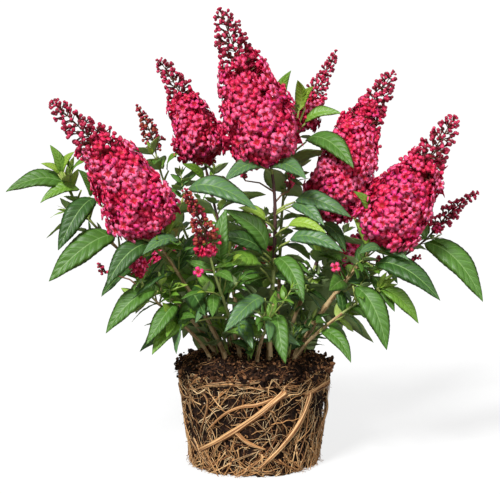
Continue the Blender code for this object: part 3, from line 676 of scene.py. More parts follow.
def leaf_plan(veins, strips, columns):
    """Shares along (0-1) and across (-1 to 1) of a blade, the height of its quilting, the
    faces of its two skins and which of the upper ones lie on a side vein."""
    along = np.append((np.arange(veins)[:, None] + np.array(strips)).ravel() / veins, 1.0)
    quilt = np.append(np.tile((np.arange(len(strips)) > 1).astype(float), veins), 0.0)
    if len(strips) == 2:
        quilt = np.append(np.tile((0.0, 1.0), veins), 0.0)
    n, m = len(along), len(columns)
    top = np.arange(n * m).reshape(n, m)
    under = top.copy()
    under[:, 1:-1] = n * m + np.arange(n * (m - 2)).reshape(n, m - 2)
    upper = np.stack([top[:-1, :-1], top[:-1, 1:], top[1:, 1:], top[1:, :-1]], -1)
    lower = np.stack([under[:-1, :-1], under[1:, :-1], under[1:, 1:], under[:-1, 1:]], -1)
    ends = np.array([list(top[0][::-1]) + list(under[0][1:-1]),
                     list(top[-1]) + list(under[-1][1:-1][::-1])])
    on_vein = np.repeat(np.arange(n - 1) % len(strips) == 0, m - 1)
    on_rib = np.tile(np.arange(m - 1) == (m - 2) // 2, n - 1)
    return (along[:, None], quilt[:, None], np.array(columns)[None, :], upper.reshape(-1, 4),
            lower.reshape(-1, 4), ends, on_vein, on_rib)


LEAF_PLANS = {"hero": leaf_plan(9, (0, 0.14, 0.42, 0.71), (-1, -0.7, -0.36, -0.04, 0.04, 0.36, 0.7, 1)),
              "full": leaf_plan(7, (0, 0.17, 0.58), (-1, -0.52, -0.05, 0.05, 0.52, 1)),
              "small": leaf_plan(4, (0, 0.5), (-1, -0.45, 0.45, 1))}


def leaf(plan, base, tip, width, arch, facing, shade, rng, fold=0.24):
    """One closed leaf from base to tip, its upper side turned to `facing`."""
    u, quilt, v, upper, lower, ends, on_vein, on_rib = LEAF_PLANS[plan]
    base, tip, facing = np.array(base), np.array(tip), np.array(facing)
    length = np.linalg.norm(tip - base)
    along = (tip - base) / length
    rise = unit(facing - along * facing.dot(along))
    side = np.cross(along, rise)
    climb = np.array((0, 0, 1.0)) - along * along[2]
    bow = unit(unit(climb) * min(np.linalg.norm(climb) / 0.4, 1.0) * 0.85 + rise * 0.5)
    half = 0.5 * width
    # the rows of faces slant forward with the side veins
    s = np.clip(u + 0.21 * np.abs(v) * np.sin(math.pi * u) ** 0.8, 0, 1)
    breadth = s ** 0.62 * (1 - s) ** 0.98 / (0.3875 ** 0.62 * 0.6125 ** 0.98)
    breadth = breadth * np.clip((s - 0.015) / 0.08, 0.10, 1) + 0.012
    row = np.arange(len(u))[:, None]
    tooth = np.where((np.abs(v) > 0.99) & (row % 2 == 0), 0.965, 1.0)
    middle = np.sin(math.pi * u)
    puff = quilt * (1 - np.abs(v) ** 4) * (np.abs(v) > 0.06) * middle ** 0.5
    puff = puff * length * (0.022 if plan == "hero" else 0.015)
    groove = np.where(np.abs(v) < 0.06, -0.010 * length, 0.0) * middle
    wave = 0.08 * np.sin(2 * math.pi * (2.3 * u + rng.random())) * np.abs(v) * breadth * half
    curl = -0.22 * half * np.abs(v) ** 2.5 * breadth
    sway = rng.uniform(-0.05, 0.05) * length * 4 * s * (1 - s)
    arc = arch * length * 4 * s ** 0.72 * (1 - s ** 0.72)
    spin = rng.uniform(-0.3, 0.3) * u
    lift = puff + groove + wave + curl + fold * half * np.abs(v) * breadth
    out = v * half * breadth * tooth
    points = (base + along * (length * s)[..., None] + bow * arc[..., None]
              + side * (sway + out * np.cos(spin))[..., None]
              + rise * (lift + out * np.sin(spin))[..., None])
    below = points[:, 1:-1] - rise * max(0.0035 * length, 0.16 * MM)
    corners = np.concatenate([points.reshape(-1, 3), below.reshape(-1, 3)])
    tops = np.full(len(upper), shade)
    if plan != "small":
        tops[on_vein] = VEIN_OF[shade]
        tops[on_rib] = RIB_OF[shade]
    under = UNDER_YOUNG if shade == YOUNG else UNDER
    return corners, [upper, lower, ends], [tops, under, under]


# LEAVES, their places: crossed pairs up each stem, side shoots in the axils, and the
# large leaves that the photograph shows, by the CAD model's rule, carried on to finer
# twigs with small young leaves between them.
LEAVES = (  # stem, root of the blade and tip, in mm, and shade
    ("left_shoot", (-220, 4, 332), (-293, -18, 331), MID),
    ("left_shoot", (-206, 0, 330), (-252, -22, 318), FRESH),
    ("left_shoot", (-231, -2, 352), (-241, -8, 386), FRESH),
    ("left_shoot", (-226, 0, 352), (-212, -8, 378), YOUNG),
    ("left_shoot", (-232, -4, 350), (-252, -10, 364), YOUNG),
    ("left_big", (-196, 2, 322), (-208, -10, 357), MID),
    ("left_shoot", (-186, -12, 322), (-228, -52, 266), DEEP),
    ("left_shoot", (-160, -22, 277), (-238, -62, 231), MID),
    ("left_big", (-112, -96, 278), (-164, -134, 237), DEEP),
    ("low_left", (-110, -92, 224), (-167, -120, 181), MID),
    ("low_left", (-88, -74, 205), (-122, -110, 166), MID),
    ("low_left", (-74, -62, 183), (-116, -104, 153), FRESH),
    ("left_big", (-84, -96, 281), (-124, -130, 272), GREY_SHEEN),
    ("left_big", (-78, -62, 336), (4, -84, 317), GREY_SHEEN),
    ("left_small", (-106, 80, 346), (-92, 52, 370), FRESH),
    ("left_mid", (-62, 50, 336), (-86, 30, 360), FRESH),
    ("front_left", (-36, -102, 260), (-31, -96, 320), MID),
    ("centre", (12, -30, 360), (-34, -62, 347), GREY_SHEEN),
    ("centre", (14, -40, 298), (-18, -52, 316), YOUNG),
    ("centre", (46, -16, 314), (82, -60, 296), GREY_SHEEN),
    ("centre", (40, -40, 292), (84, -66, 288), YOUNG),
    ("right_back", (78, 10, 288), (110, -14, 258), DEEP),
    ("right_front", (134, -86, 298), (112, -108, 341), FRESH),
    ("right_front", (146, -94, 270), (118, -122, 272), GREY_SHEEN),
    ("centre", (13, -50, 262), (-35, -70, 316), MID),
    ("centre", (9, -52, 258), (-42, -92, 288), DEEP),
    ("centre", (8, -60, 246), (-44, -116, 255), FRESH),
    ("centre", (21, -22, 357), (60, -78, 352), GREY_SHEEN),
    ("centre", (25, -48, 255), (57, -98, 212), MID),
    ("front_low", (26, -84, 196), (36, -124, 147), MID),
    ("front_low", (13, -86, 214), (-33, -128, 184), GREY_SHEEN),
    ("front_left", (-66, -84, 188), (-55, -104, 222), FRESH),
    ("low_left", (-90, -76, 208), (-84, -94, 235), YOUNG),
    ("centre", (41, -50, 276), (103, -80, 268), GREY_SHEEN),
    ("centre", (48, -14, 318), (114, -46, 304), GREY_SHEEN),
    ("upper_right", (64, 60, 384), (119, -6, 358), MID),
    ("upper_right", (64, 96, 404), (110, 84, 418), FRESH),
    ("upper_right", (40, 66, 430), (46, 56, 472), FRESH),
    ("upper_right", (56, 84, 420), (54, 66, 460), YOUNG),
    ("upper_right", (64, 90, 424), (74, 70, 452), YOUNG),
    ("far_right", (200, -34, 270), (267, -62, 207), MID),
    ("right_front", (136, -82, 252), (211, -112, 217), DEEP),
    ("low_right", (116, -60, 224), (153, -92, 156), MID),
    ("low_right", (146, -64, 220), (192, -66, 182), FRESH),
    ("low_right", (78, -58, 170), (112, -92, 141), MID),
    ("right_front", (150, -84, 270), (176, -104, 262), GREY_SHEEN),
    ("centre", (2, -46, 160), (-3, -58, 138), FRESH),
)
FRONT_LIGHT = Vector((0.0, -0.72, 0.69))


def side_frame(along):
    """Two directions across `along`: left to right, then fore and aft."""
    across = along.cross(Vector((0, 1, 0)))
    if across.length < 0.2:
        across = along.cross(Vector((0, 0, 1)))
    across.normalize()
    return across, along.cross(across).normalized()


def leaf_pose(stem, share, turn, side, length, rng):
    """Root and tip of one leaf of a pair, climbing when young and hanging when old."""
    point, along = stem.at(share)
    across, other = side_frame(along)
    out = (across * math.cos(turn) + other * math.sin(turn)) * side
    youth = share ** 2
    way = out + along * (0.25 + 0.45 * youth) - UP * (0.50 - 0.42 * youth + rng.uniform(-0.12, 0.12))
    root = point + out * stem.thickness(share) * 0.1
    return root, root + way.normalized() * length, out


def face_way(root, rng):
    """Where a leaf turns its upper side: up, outwards, and a little at random."""
    out = Vector((root.x, root.y, 0.0))
    out = out.normalized() if out.length > 10 * MM else Vector((0, -1, 0))
    return UP * 0.75 + out * 0.45 + Vector((rng.uniform(-0.6, 0.6), rng.uniform(-0.6, 0.6), 0.0))


def bloom_shape(share):
    """Radius of a flower spike against its widest, from its foot (0) to its tip (1)."""
    return float(np.interp(share, (0, 0.05, 0.14, 0.30, 0.48, 0.60, 0.72, 0.88, 0.96, 1.0),
                           (0.30, 0.80, 0.99, 0.91, 0.76, 0.61, 0.50, 0.39, 0.26, 0.08)))


SPIKES = []
for stem in stems.values():
    if stem.bloom > 0:
        for share in np.linspace(0, 1, 12):
            SPIKES.append((*stem.spike(share)[0], stem.bloom * bloom_shape(share)))
SPIKES = np.array(SPIKES)


def in_the_way(root, tip):
    """Whether a leaf would stand in a flower spike or in the compost."""
    for share in (0.35, 0.7, 1.0):
        spot = root.lerp(tip, share)
        if np.any(np.linalg.norm(SPIKES[:, :3] - np.array(spot), axis=1) < 0.8 * SPIKES[:, 3]):
            return True
        if spot.z < 137 * MM and math.hypot(spot.x, spot.y) < 92 * MM:
            return True
    return False


leaves = {"front": [], "left": [], "right": [], "back": []}
twigs = []
counted = {"hero": 0, "full": 0, "small": 0}


def add_leaf(plan, root, tip, width, arch, facing, shade, look, fold=0.24):
    for size in (1.0, 0.72, 0.5):
        end = root.lerp(tip, size)
        if plan == "hero" or not in_the_way(root, end):
            place = "back" if root.y > 40 * MM else "front"
            if place == "front" and abs(root.x) > 45 * MM:
                place = "left" if root.x < 0 else "right"
            leaves[place].append(leaf(plan, root, end, width * size, arch, facing, shade, look, fold))
            counted[plan] += 1
            return


def add_twig(points, radii, shade=TWIG):
    twigs.append(tube([p[:] for p in points], np.array(radii), 5, shade))


def tuft(start, way, reach, small, spin, look, draw, pairs=2, tone=None):
    """A side shoot with pairs of small leaves, ending in two young ones."""
    end = start + way * reach
    bend = Vector((look.uniform(-1, 1), look.uniform(-1, 1), look.uniform(0, 1))) * reach * 0.08
    add_twig([start, start.lerp(end, 0.5) + bend, end], [1.1 * MM, 0.9 * MM, 0.6 * MM])
    a, b = side_frame(way)
    for n in range(pairs):
        place = 0.5 + 0.45 * n / max(pairs - 1, 1)
        size = 1.0 - 0.2 * n / max(pairs - 1, 1)
        knot = start + way * reach * place
        for hand in (-1, 1):
            fan = (a * math.cos(spin) + b * math.sin(spin)) * hand
            lean = (fan * (0.9 if place < 0.9 else 0.5) + way * 0.6 - UP * 0.08).normalized()
            shade = tone if tone is not None else int(look.choice((1, 2, 3)))
            add_leaf("small" if small * size < 30 * MM else "full", knot, knot + lean * small * size,
                     small * size * 0.42, 0.10, face_way(knot, draw), shade, look)
        spin += math.pi / 2
    for hand in (-1, 1):                                 # the young pair at its tip
        lean = (way + a * 0.28 * hand * math.cos(spin) + b * 0.28 * hand * math.sin(spin)).normalized()
        add_leaf("small", end - way * 1 * MM, end + lean * small * 0.5, small * 0.14, 0.04,
                 face_way(end, draw), 3, look, 0.5)


def grow(stem):
    """The leaves of one stem: the CAD model's rule and its finer twigs."""
    place_in_row = list(stems).index(stem.name)
    rng = random.Random(100 + place_in_row)
    look = np.random.default_rng(500 + place_in_row)     # what only the scene adds
    for owner, base, tip, shade in LEAVES:
        if owner != stem.name:
            continue
        base, tip = Vector(base) * MM, Vector(tip) * MM
        length = (tip - base).length
        share = stem.nearest_share(base, stem.bare + 0.02)
        start = stem.at(share)[0]
        if (base - start).length > 5 * MM:
            knee = start.lerp(base, 0.5) + UP * 0.06 * (base - start).length
            add_twig([start, knee, base + (base - start).normalized() * 1.5 * MM],
                     [1.7 * MM, 1.4 * MM, 1.1 * MM])
        else:
            base = start.lerp(base, 0.12)
        add_leaf("hero", base, tip, length * 0.36, 0.18, FRONT_LIGHT, shade, look)
    turn = rng.uniform(0, math.pi)
    for number in range(stem.pairs):
        share = stem.bare + 0.05 + (stem.last - stem.bare - 0.07) * number / max(stem.pairs - 1, 1)
        turn += math.pi / 2 + rng.uniform(-0.25, 0.25)
        grown = math.sin(math.pi * min(max(0.18 + 0.72 * share, 0.0), 1.0)) ** 0.7
        for side in (-1, 1):
            draw = random.Random(1000 * place_in_row + 10 * number + side)
            length = stem.longest * grown * draw.uniform(0.82, 1.12)
            root, tip, out = leaf_pose(stem, share, turn, side, length, draw)
            facing = face_way(root, draw)
            shade = int(look.choice((0, 1, 4, 2), p=(0.34, 0.3, 0.2, 0.16)))
            if share > 0.8:
                shade = int(look.choice((1, 2, 3), p=(0.35, 0.4, 0.25)))
            add_leaf("full", root, tip, length * 0.38, 0.13, facing, shade, look)
            point, along = stem.at(share)
            reach = draw.uniform(20, 38) * MM
            wanted = draw.random() < 0.36
            way = (out * 0.75 + along * 0.8 + UP * 0.2).normalized()
            spin = draw.uniform(0, math.pi)
            small = draw.uniform(28, 40) * MM
            if stem.name == "front_low":
                continue
            if wanted:
                tuft(point, way, reach, small, spin, look, draw, 2)
            elif look.random() < (0.12 if root.y < 0 and root.z < 260 * MM else 0.6):
                tuft(point, way, reach * 0.45, small * look.uniform(0.45, 0.7), spin, look, draw, 1,
                     int(look.choice((2, 3))))
        if number < stem.pairs - 1 and look.random() < 0.7:
            # a smaller pair half-way to the next one
            step = (stem.last - stem.bare - 0.07) / max(stem.pairs - 1, 1)
            between = share + step * look.uniform(0.4, 0.6)
            for side in (-1, 1):
                draw = random.Random(90000 + 1000 * place_in_row + 10 * number + side)
                length = stem.longest * grown * draw.uniform(0.38, 0.62)
                root, tip, out = leaf_pose(stem, between, turn + 0.8, side, length, draw)
                add_leaf("full", root, tip, length * 0.40, 0.13, face_way(root, draw),
                         int(look.choice((0, 1, 2))), look)
    for number in range(0 if stem.name == "centre" else 2 if stem.bare > 0 else 1):
        # finer shoots that climb beside the stem with small leaves
        share = stem.bare + (0.22 + 0.3 * number) * (1 - stem.bare)
        draw = random.Random(70000 + 100 * place_in_row + number)
        point, along = stem.at(share)
        a, b = side_frame(along)
        spin = draw.uniform(0, 2 * math.pi)
        way = (along * 0.9 + a * math.cos(spin) * 0.6 + b * math.sin(spin) * 0.6 + UP * 0.3).normalized()
        tuft(point, way, draw.uniform(34, 62) * MM, draw.uniform(15, 27) * MM, spin, look, draw, 4,
             int(look.choice((1, 2))))
    if stem.bloom == 0 and stem.name != "front_low":
        # a leafy shoot ends in its own young growth
        point, along = stem.at(1.0)
        reach = (stem.tip - stem.end).length
        across, other = side_frame(along)
        for spin, lean_out, size in ((0.4, 0.55, 0.9), (0.4 + math.pi / 2, 0.25, 1.0)):
            for hand in (-1, 1):
                fan = (across * math.cos(spin) + other * math.sin(spin)) * hand
                lean = (along + fan * lean_out).normalized()
                root = point - along * 3 * MM
                add_leaf("full", root, root + lean * reach * size, reach * size * 0.30, 0.05,
                         face_way(root, rng) - Vector((0, 0.6, 0)), YOUNG, look, 0.4)


for stem in stems.values():
    grow(stem)
look = np.random.default_rng(77)
for number in range(26):                             # low leafy suckers between the canes
    angle = math.radians(look.uniform(-30, 210) if number % 4 else look.uniform(190, 350))
    out = look.uniform(30, 66) * MM
    way = Vector((math.cos(angle) * 0.42, math.sin(angle) * 0.42, 1.0)).normalized()
    foot = Vector((out * math.cos(angle), out * math.sin(angle), 127 * MM))
    tuft(foot, way, look.uniform(30, 64) * MM, look.uniform(20, 34) * MM, look.uniform(0, 3), look,
         random.Random(300 + number), 3, int(look.choice((0, 1, 2), p=(0.5, 0.3, 0.2))))
masses = [n for n in frame["nodes"] if n.startswith("foliage_")]
for place, shapes in leaves.items():
    piece = join_up("leaves_" + place, shapes, GREENS)
    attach(piece, "root")
    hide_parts(*masses)
twig_piece = join_up("twigs", twigs, GREENS)
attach(twig_piece, "root")
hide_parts(*masses)
print("LEAVES", counted, {k: sum(len(g) for s in v for g in s[1]) for k, v in leaves.items()})

# FLOWERS: dense tapering spikes of small four- and five-lobed florets round a dark red core that is
# painted shade in the depth of the spike, pink-crimson with orange-red throats, that run out into side
# branches of closed dark buds at the tip. Florets and buds are modelled once each and dealt out in small heads.
PINKS = [plain_material("petal_crimson", (238, 38, 92), 0.5, 0.1, 0.2, 900, glow=0.15),
         plain_material("petal_rose", (250, 78, 132), 0.5, 0.1, 0.2, 900, glow=0.15),
         plain_material("petal_pink", (252, 108, 156), 0.5, 0.1, 0.2, 900, glow=0.15),
         plain_material("petal_magenta", (242, 56, 132), 0.5, 0.1, 0.2, 900, glow=0.15),
         plain_material("throat_red", (170, 8, 22), 0.6, 0.1, 0.2, 900),
         plain_material("petal_back", (214, 28, 84), 0.6, 0.1, 0.2, 900),
         plain_material("bud_head", (178, 28, 68), 0.45, 0.1, 0.2, 900),
         plain_material("bud_dark", (128, 22, 44), 0.5, 0.1, 0.2, 900),
         plain_material("bud_neck", (112, 54, 46), 0.6, 0.1, 0.2, 900),
         plain_material("flower_stalk", (116, 82, 56), 0.62, 0.1, 0.3, 600),
         # a dark red core: painted shade for the depth of the spike between the florets
         plain_material("core_painted_shade", (150, 0, 30), 0.85, 0.08, 0.5, 500),
         plain_material("bud_rust", (164, 66, 48), 0.55, 0.1, 0.2, 900),
         plain_material("petal_inner", (206, 14, 60), 0.5, 0.1, 0.2, 900),
         plain_material("bud_rose", (212, 52, 96), 0.45, 0.1, 0.2, 900),
         # darker crimson for florets deep in the spike: painted shade
         plain_material("petal_painted_shade", (202, 8, 60), 0.6, 0.1, 0.2, 900)]


def floret_plan(lobes, rng):
    """A closed floret of one unit across, facing +Z: squarish notched lobes round a deep
    throat, with its tube behind."""
    points, tops, inner, throat, backs, tubes = [], [], [], [], [], []
    step = 2 * math.pi / lobes
    for n in range(lobes):
        mid = n * step
        tilt, wide = rng.uniform(-0.06, 0.06), rng.uniform(0.92, 1.08)
        for angle, out, high in ((-0.5, 0.16, 0.0), (-0.42 * wide, 0.32, 0.02), (-0.31 * wide, 0.475, -0.02),
                                 (0, 0.50, 0.0), (0.31 * wide, 0.475, -0.02), (0.42 * wide, 0.32, 0.02)):
            turn = mid + angle * step
            points.append((out * math.cos(turn), out * math.sin(turn), high + tilt * out * 2.5))
    for n in range(lobes):
        mid = n * step
        points.append((0.31 * math.cos(mid), 0.31 * math.sin(mid), 0.045))
        points.append((0.24 * math.cos(mid), 0.24 * math.sin(mid), -0.05))
        points.append((0.06 * math.cos(mid - 0.5 * step), 0.06 * math.sin(mid - 0.5 * step), -0.60))
    deep = len(points)
    points.append((0.0, 0.0, -0.20))
    for n in range(lobes):
        ring = [6 * n + i for i in range(6)] + [6 * ((n + 1) % lobes)]
        heart, back, end = 6 * lobes + 3 * n, 6 * lobes + 3 * n + 1, 6 * lobes + 3 * n + 2
        after = 6 * lobes + 3 * ((n + 1) % lobes) + 2
        tops += [(heart, ring[i], ring[i + 1]) for i in range(6)]
        inner.append((heart, ring[6], ring[0]))
        throat.append((deep, ring[0], ring[6]))
        backs += [(back, ring[i + 1], ring[i]) for i in range(6)]
        tubes += [(ring[0], back, end), (back, after, end), (back, ring[6], after)]
    cap = [tuple(6 * lobes + 3 * n + 2 for n in range(lobes))]
    return np.array(points), [np.array(g) for g in (tops, inner, throat, backs, tubes, cap)]


def bud_plan(sides=6):
    """A closed bud one unit long that points along +Z: a neck with a round head."""
    points = []
    rings = ((0.0, 0.06), (0.52, 0.085), (0.66, 0.17), (0.80, 0.225), (0.93, 0.15))
    for high, out in rings:
        for j in range(sides):
            turn = 2 * math.pi * j / sides
            points.append((out * math.cos(turn), out * math.sin(turn), high))
    points.append((0, 0, 0.98))
    last = len(rings) - 1
    walls = [(i * sides + j, i * sides + (j + 1) % sides, (i + 1) * sides + (j + 1) % sides,
              (i + 1) * sides + j) for i in range(last) for j in range(sides)]
    tip = [(last * sides + j, last * sides + (j + 1) % sides, len(points) - 1) for j in range(sides)]
    foot = [tuple(range(sides))[::-1]]
    return np.array(points), np.array(walls[:sides]), np.array(walls[sides:]), np.array(tip), np.array(foot)


plan_rng = random.Random(4)
FLORETS = [floret_plan(4, plan_rng), floret_plan(4, plan_rng), floret_plan(4, plan_rng),
           floret_plan(5, plan_rng)]
BUD = bud_plan()


def aim(way, rng):
    """A rotation that turns +Z to `way`, with a random spin, as rows for points @ rows."""
    z = unit(np.asarray(way, float))
    x = np.cross(z, rng.normal(size=3))
    x = x / np.linalg.norm(x)
    return np.stack([x, np.cross(z, x), z])


def add_floret(store, spot, way, size, shade, rng):
    points, groups = FLORETS[int(rng.integers(4))]
    placed = spot + (points * size) @ aim(way, rng)
    store.append((placed, groups, [shade, 12, 4, 5, 5, 5]))


def add_bud(store, spot, way, size, shade, rng, fat=1.0):
    points, neck, head, tip, foot = BUD
    placed = spot + (points * (size * fat, size * fat, size)) @ aim(way, rng)
    store.append((placed, [neck, head, tip, foot], [8, shade, shade, 8]))


# the share of each spike that has opened
OPEN = {"centre": 0.70, "left_big": 0.68, "left_mid": 0.64, "right_back": 0.76, "right_front": 0.68,
        "upper_right": 0.42, "front_left": 0.20, "left_small": 0.0, "far_right": 0.12, "low_left": 1.0,
        "back_left": 0.64, "back_mid": 0.66, "back_right": 0.62}


def spike_parts(stem):
    """Core, stalks, florets and buds of one flower spike."""
    rng = np.random.default_rng(900 + list(stems).index(stem.name))
    florets, buds, stalks = [], [], []
    length = (stem.tip - stem.end).length
    opened = OPEN[stem.name]
    big = stem.bloom > 20 * MM
    rusty = stem.name in ("front_left", "left_small")
    size_up = 1.0 if big else 0.85

    def where(share):
        centre, along = stem.spike(min(max(share, 0.0), 1.0))
        a, b = side_frame(along)
        return np.array(centre), np.array(along), np.array(a), np.array(b), stem.bloom * bloom_shape(share)

    axis = [where(s)[0] for s in np.linspace(0, 0.985, 22)]
    thick = stem.thickness(1.0)
    stalks.append(tube(axis, np.linspace(thick, 0.55 * MM, 22), 6, 9))
    # a fat dark red core inside the open part: painted shade that fills the depth between the florets
    if opened > 0.3:
        core = np.linspace(0.03, min(opened + 0.02, 0.97), 14)
        radii = np.array([where(s)[4] for s in core]) * np.interp(core / opened, (0, 0.1, 0.75, 1), (0.5, 0.64, 0.52, 0.12))
        stalks.append(tube([where(s)[0] for s in core], radii, 10, 10))
    phases = rng.uniform(0, 2 * math.pi, 3)

    def swell(turn, share):
        """The side branches stand out as lobes of the spike with valleys between them."""
        return 1 + (1 - 0.6 * share) * (0.08 * math.sin(3 * turn + phases[0] + 11 * share)
                                        + 0.09 * math.sin(5 * turn + phases[1] - 23 * share)
                                        + 0.07 * math.sin(2 * turn + phases[2] + 37 * share))

    # open part: staggered rings of florets that face outwards, smaller ones deeper between
    row, gap = 0, 8.0 * MM
    share = 0.02
    while share < opened:
        count = max(4, int(2 * math.pi * where(share)[4] / (14.4 * MM)))
        for j in range(count):
            near = share + rng.uniform(-0.3, 0.3) * gap / length
            centre, along, a, b, radius = where(near)
            turn = 2 * math.pi * (j + 0.5 * (row % 2) + rng.uniform(-0.2, 0.2)) / count
            radius *= swell(turn, near)
            out = a * math.cos(turn) + b * math.sin(turn)
            tilt = unit(out * 0.9 + along * (0.10 + 0.5 * near) - along * 0.5 * max(0, 0.12 - near) * 8)
            head = centre + out * radius * rng.uniform(0.88, 1.10)
            root = where(near - 0.05)[0]
            stalks.append(tube([root, root + (head - root) * 0.55, head - tilt * 6 * MM],
                               np.array((0.7, 0.6, 0.45)) * MM, 3, 9))
            late = near > opened - 0.13
            if late and rng.random() < 0.5:
                for n in range(3):
                    way = unit(tilt + rng.normal(0, 0.35, 3))
                    add_bud(buds, head - way * 7 * MM, way, rng.uniform(9, 11.5) * MM, int(rng.choice((6, 0))), rng)
                continue
            across = rng.uniform(16.0, 20.0) * MM * size_up * (0.8 if late else 1.0)
            # florets on the lobes that stand out get lighter pinks and those in the valleys darker crimson: painted
            # light and shade set by the swell
            painted_lightness = swell(turn, near) + rng.uniform(-0.12, 0.12)
            tone = 0 if painted_lightness < 0.92 else (2 if painted_lightness > 1.12 else int(rng.choice((1, 3, 2), p=(0.6, 0.25, 0.15))))
            add_floret(florets, head, unit(tilt + rng.normal(0, 0.22, 3)), across, tone, rng)
            # deeper ones in the gap beside it, in the shade of the outer row; their darker crimson tones are painted
            # shade
            turn += math.pi / count
            out = a * math.cos(turn) + b * math.sin(turn)
            for depth, aside in ((0.80, 0.3), (0.68, 0.6)):
                lean = unit(out * 0.9 + along * 0.3 + rng.normal(0, aside, 3))
                add_floret(florets, centre + out * radius * depth + rng.normal(0, 1.5 * MM, 3), lean,
                           across * 0.85, int(rng.choice((0, 5, 14), p=(0.25, 0.40, 0.35))), rng)
            if rng.random() < 0.22:                      # an unopened one beside it
                lean = unit(tilt + rng.normal(0, 0.5, 3))
                add_bud(buds, head - lean * 4 * MM, lean, rng.uniform(8.5, 11) * MM, 6, rng)
        share += gap / length
        row += 1
    # closed part: side branches of buds in rings that get closer together and shorter
    share = max(opened - 0.06, 0.04)
    row = 0
    while share < 0.99:
        centre, along, a, b, radius = where(share)
        left = max(0.0, share - opened) / max(1.0 - opened, 0.1)
        for j in range(5):
            turn = 2 * math.pi * (j + 0.5 * (row % 2) + rng.uniform(-0.15, 0.15)) / 5
            out = a * math.cos(turn) + b * math.sin(turn)
            reach = max(radius * rng.uniform(0.8, 1.1) * (1.35 if opened == 0 else 1.0) - 5 * MM, 1 * MM)
            way = unit(out * 0.9 + along * 0.5)
            end = centre + way * reach
            stalks.append(tube([centre, centre + way * reach * 0.5, end],
                               np.array((0.8, 0.65, 0.5)) * MM, 3, 9))
            for n in range(4 if reach > 11 * MM else 3):
                lean = unit(way + rng.normal(0, 0.42, 3))
                spot = end - way * reach * rng.uniform(0.0, 0.4) - lean * 1.5 * MM
                shade = int(rng.choice((6, 13, 7), p=(0.50, 0.22, 0.28)))
                if rusty:
                    shade = int(rng.choice((6, 7, 11), p=(0.2, 0.2, 0.6)))
                long = rng.uniform(10.0, 12.8) * MM * size_up * (1.0 - 0.30 * left)
                add_bud(buds, spot, lean, long, shade, rng, 0.98)
        share += (8.2 if big else 6.8) * MM / length
        row += 1
    top = where(0.985)
    for n in range(5):
        add_bud(buds, top[0], unit(top[1] + rng.normal(0, 0.45, 3)), 6.5 * MM * size_up, 6, rng, 1.1)
    return florets, buds, stalks


def small_heads(owner, spot, way, reach, florets, closed, rng, rust=False):
    """A short side twig from the stem to the spot (mm), with a few florets or a bud cluster."""
    stem = stems[owner]
    spot = Vector(spot) * MM
    share = stem.nearest_share(spot, stem.bare + 0.02)
    start = stem.at(share)[0]
    knee = start.lerp(spot, 0.5) + UP * 0.10 * (spot - start).length
    way = np.array(unit(np.array(way, float)))
    tip = np.array(spot) + way * reach * MM
    made, open_heads = [], []
    made.append(tube([start[:], knee[:], spot[:]], np.array((1.2, 1.0, 0.8)) * MM, 5, 9))
    if closed:
        made.append(tube([np.array(spot), tip], np.array((0.8, 0.5)) * MM, 5, 9))
    for n in range(closed):
        step = n / max(closed - 1, 1)
        lean = unit(way * 0.8 + rng.normal(0, 0.55, 3))
        foot = np.array(spot) * (1 - step) + (tip - way * 3 * MM) * step
        shade = int(rng.choice((6, 7, 11 if rust else 13)))
        add_bud(made, foot, lean, rng.uniform(7.0, 9.5) * MM * (1 - 0.3 * step), shade, rng, 1.15)
    for n in range(florets):
        lean = unit(way + (rng.normal(0, 0.45, 3) if florets > 1 else 0.0))
        add_floret(open_heads, np.array(spot) + (lean * 3.0 if florets > 1 else lean) * MM, lean,
                   rng.uniform(12, 14) * MM, int(rng.choice((1, 2, 3))), rng)
    return open_heads, made


# the small flowers and bud clusters low among the leaves: stem, place, way it looks, length,
# how many are open and how many closed
SMALL_HEADS = (
    ("low_left", (-170, -56, 240), (-0.75, -0.15, 0.6), 15, 0, 17),
    ("front_left", (-62, -126, 252), (0.1, -1.0, 0.25), 2, 1, 0),
    ("right_front", (94, -78, 250), (0.1, -1.0, 0.3), 2, 1, 0),
    ("centre", (42, 2, 330), (0.05, -0.1, 1.0), 24, 0, 22),
    ("centre", (-10, 6, 342), (-0.1, -0.2, 1.0), 14, 0, 14),
    ("right_front", (142, -60, 250), (0.2, -0.5, 0.8), 14, 0, 16),
    ("right_front", (182, -60, 250), (0.6, -0.2, 0.7), 16, 0, 14),
    ("right_back", (86, 60, 330), (-0.3, 0.2, 1.0), 18, 0, 16),
    ("left_mid", (-60, 70, 322), (0.2, -0.3, 1.0), 16, 0, 14),
)
flower_sets = {"flowers_front": ("centre", "left_big", "front_left", "low_left"),
               "flowers_right": ("right_back", "right_front", "far_right"),
               "flowers_back": ("left_mid", "left_small", "upper_right", "back_left", "back_mid", "back_right")}
for name, members in flower_sets.items():
    blossom, closed = [], []
    for member in members:
        florets, buds, stalks = spike_parts(stems[member])
        blossom += florets
        closed += buds + stalks
        for owner, spot, way, reach, opened, shut in SMALL_HEADS:
            if owner == member:
                rng = np.random.default_rng(int(abs(spot[0]) * 7 + spot[2]))
                heads, made = small_heads(owner, spot, way, reach, opened, shut, rng)
                blossom += heads
                closed += made
    nodes = ["bloom_" + member for member in members]
    for label, shapes in ((name, blossom), (name.replace("flowers", "buds"), closed)):
        piece = join_up(label, shapes, PINKS)
        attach(piece, "root")
        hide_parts(*nodes)
        print(label, len(shapes), len(piece.data.polygons))
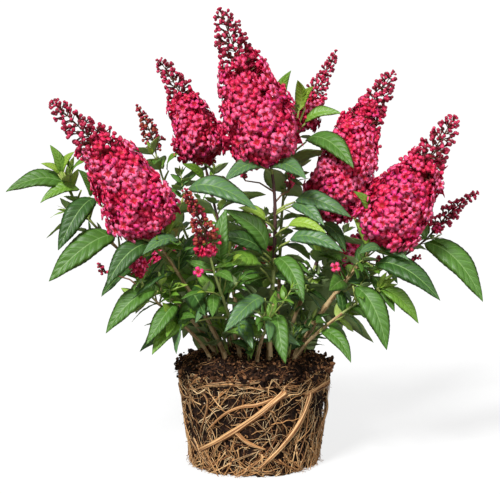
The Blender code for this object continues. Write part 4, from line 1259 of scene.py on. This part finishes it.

# STUDIO: a wide flat white floor, a large soft light from the front left and
# a weaker one from the right.
bpy.ops.mesh.primitive_plane_add(size=60, location=(0, 0, 0))
floor = bpy.context.object
floor.name = "floor"
paper = plain_material("floor_white", (128, 128, 128), 0.9, 0.04, 0.02, 40)
nodes, links = paper.node_tree.nodes, paper.node_tree.links
light_path = nodes.new("ShaderNodeLightPath")
shine = nodes.new("ShaderNodeMath")
shine.operation = "MULTIPLY"
shine.inputs[1].default_value = 0.78
nodes["Principled BSDF"].inputs["Emission Color"].default_value = (1, 1, 1, 1)
links.new(light_path.outputs["Is Camera Ray"], shine.inputs[0])
links.new(shine.outputs["Value"], nodes["Principled BSDF"].inputs["Emission Strength"])
floor.data.materials.append(paper)

world = bpy.data.worlds.new("studio")
bpy.context.scene.world = world
world.use_nodes = True
nodes, links = world.node_tree.nodes, world.node_tree.links
light_path = nodes.new("ShaderNodeLightPath")
level = nodes.new("ShaderNodeMapRange")
level.inputs["To Min"].default_value = 0.28
level.inputs["To Max"].default_value = 1.1
nodes["Background"].inputs["Color"].default_value = (1, 1, 1, 1)
links.new(light_path.outputs["Is Camera Ray"], level.inputs["Value"])
links.new(level.outputs["Result"], nodes["Background"].inputs["Strength"])
sun = bpy.data.objects.new("sun", bpy.data.lights.new("sun", "SUN"))
sun.data.energy = 3.7
sun.data.angle = math.radians(14)
sun.rotation_euler = Vector((0.48, 0.90, -0.92)).to_track_quat("-Z", "Y").to_euler()
bpy.context.scene.collection.objects.link(sun)


def soft_light(name, place, aim_at, size, power):
    lamp = bpy.data.lights.new(name, "AREA")
    lamp.size = size
    lamp.energy = power
    obj = bpy.data.objects.new(name, lamp)
    bpy.context.scene.collection.objects.link(obj)
    obj.location = place
    obj.rotation_euler = (Vector(aim_at) - Vector(place)).to_track_quat("-Z", "Y").to_euler()
    return obj


soft_light("fill", (1.3, -1.4, 0.9), (0, 0, 0.28), 0.8, 10)

# CAMERA: a long lens a little above the bush, as in the photograph.
target = Vector((-4.2, 0, 262.7)) * MM
tilt = math.radians(8)
camera_data = bpy.data.cameras.new("camera")
camera_data.sensor_width = 36
camera_data.lens = 109.2
camera = bpy.data.objects.new("camera", camera_data)
bpy.context.scene.collection.objects.link(camera)
camera.location = target + Vector((0, -math.cos(tilt), math.sin(tilt))) * 1.82
camera.rotation_mode = "QUATERNION"
camera.rotation_quaternion = (target - camera.location).to_track_quat("-Z", "Y")
bpy.context.scene.camera = camera
bpy.context.scene.view_settings.view_transform = "Standard"
bpy.context.scene.view_settings.look = "None"
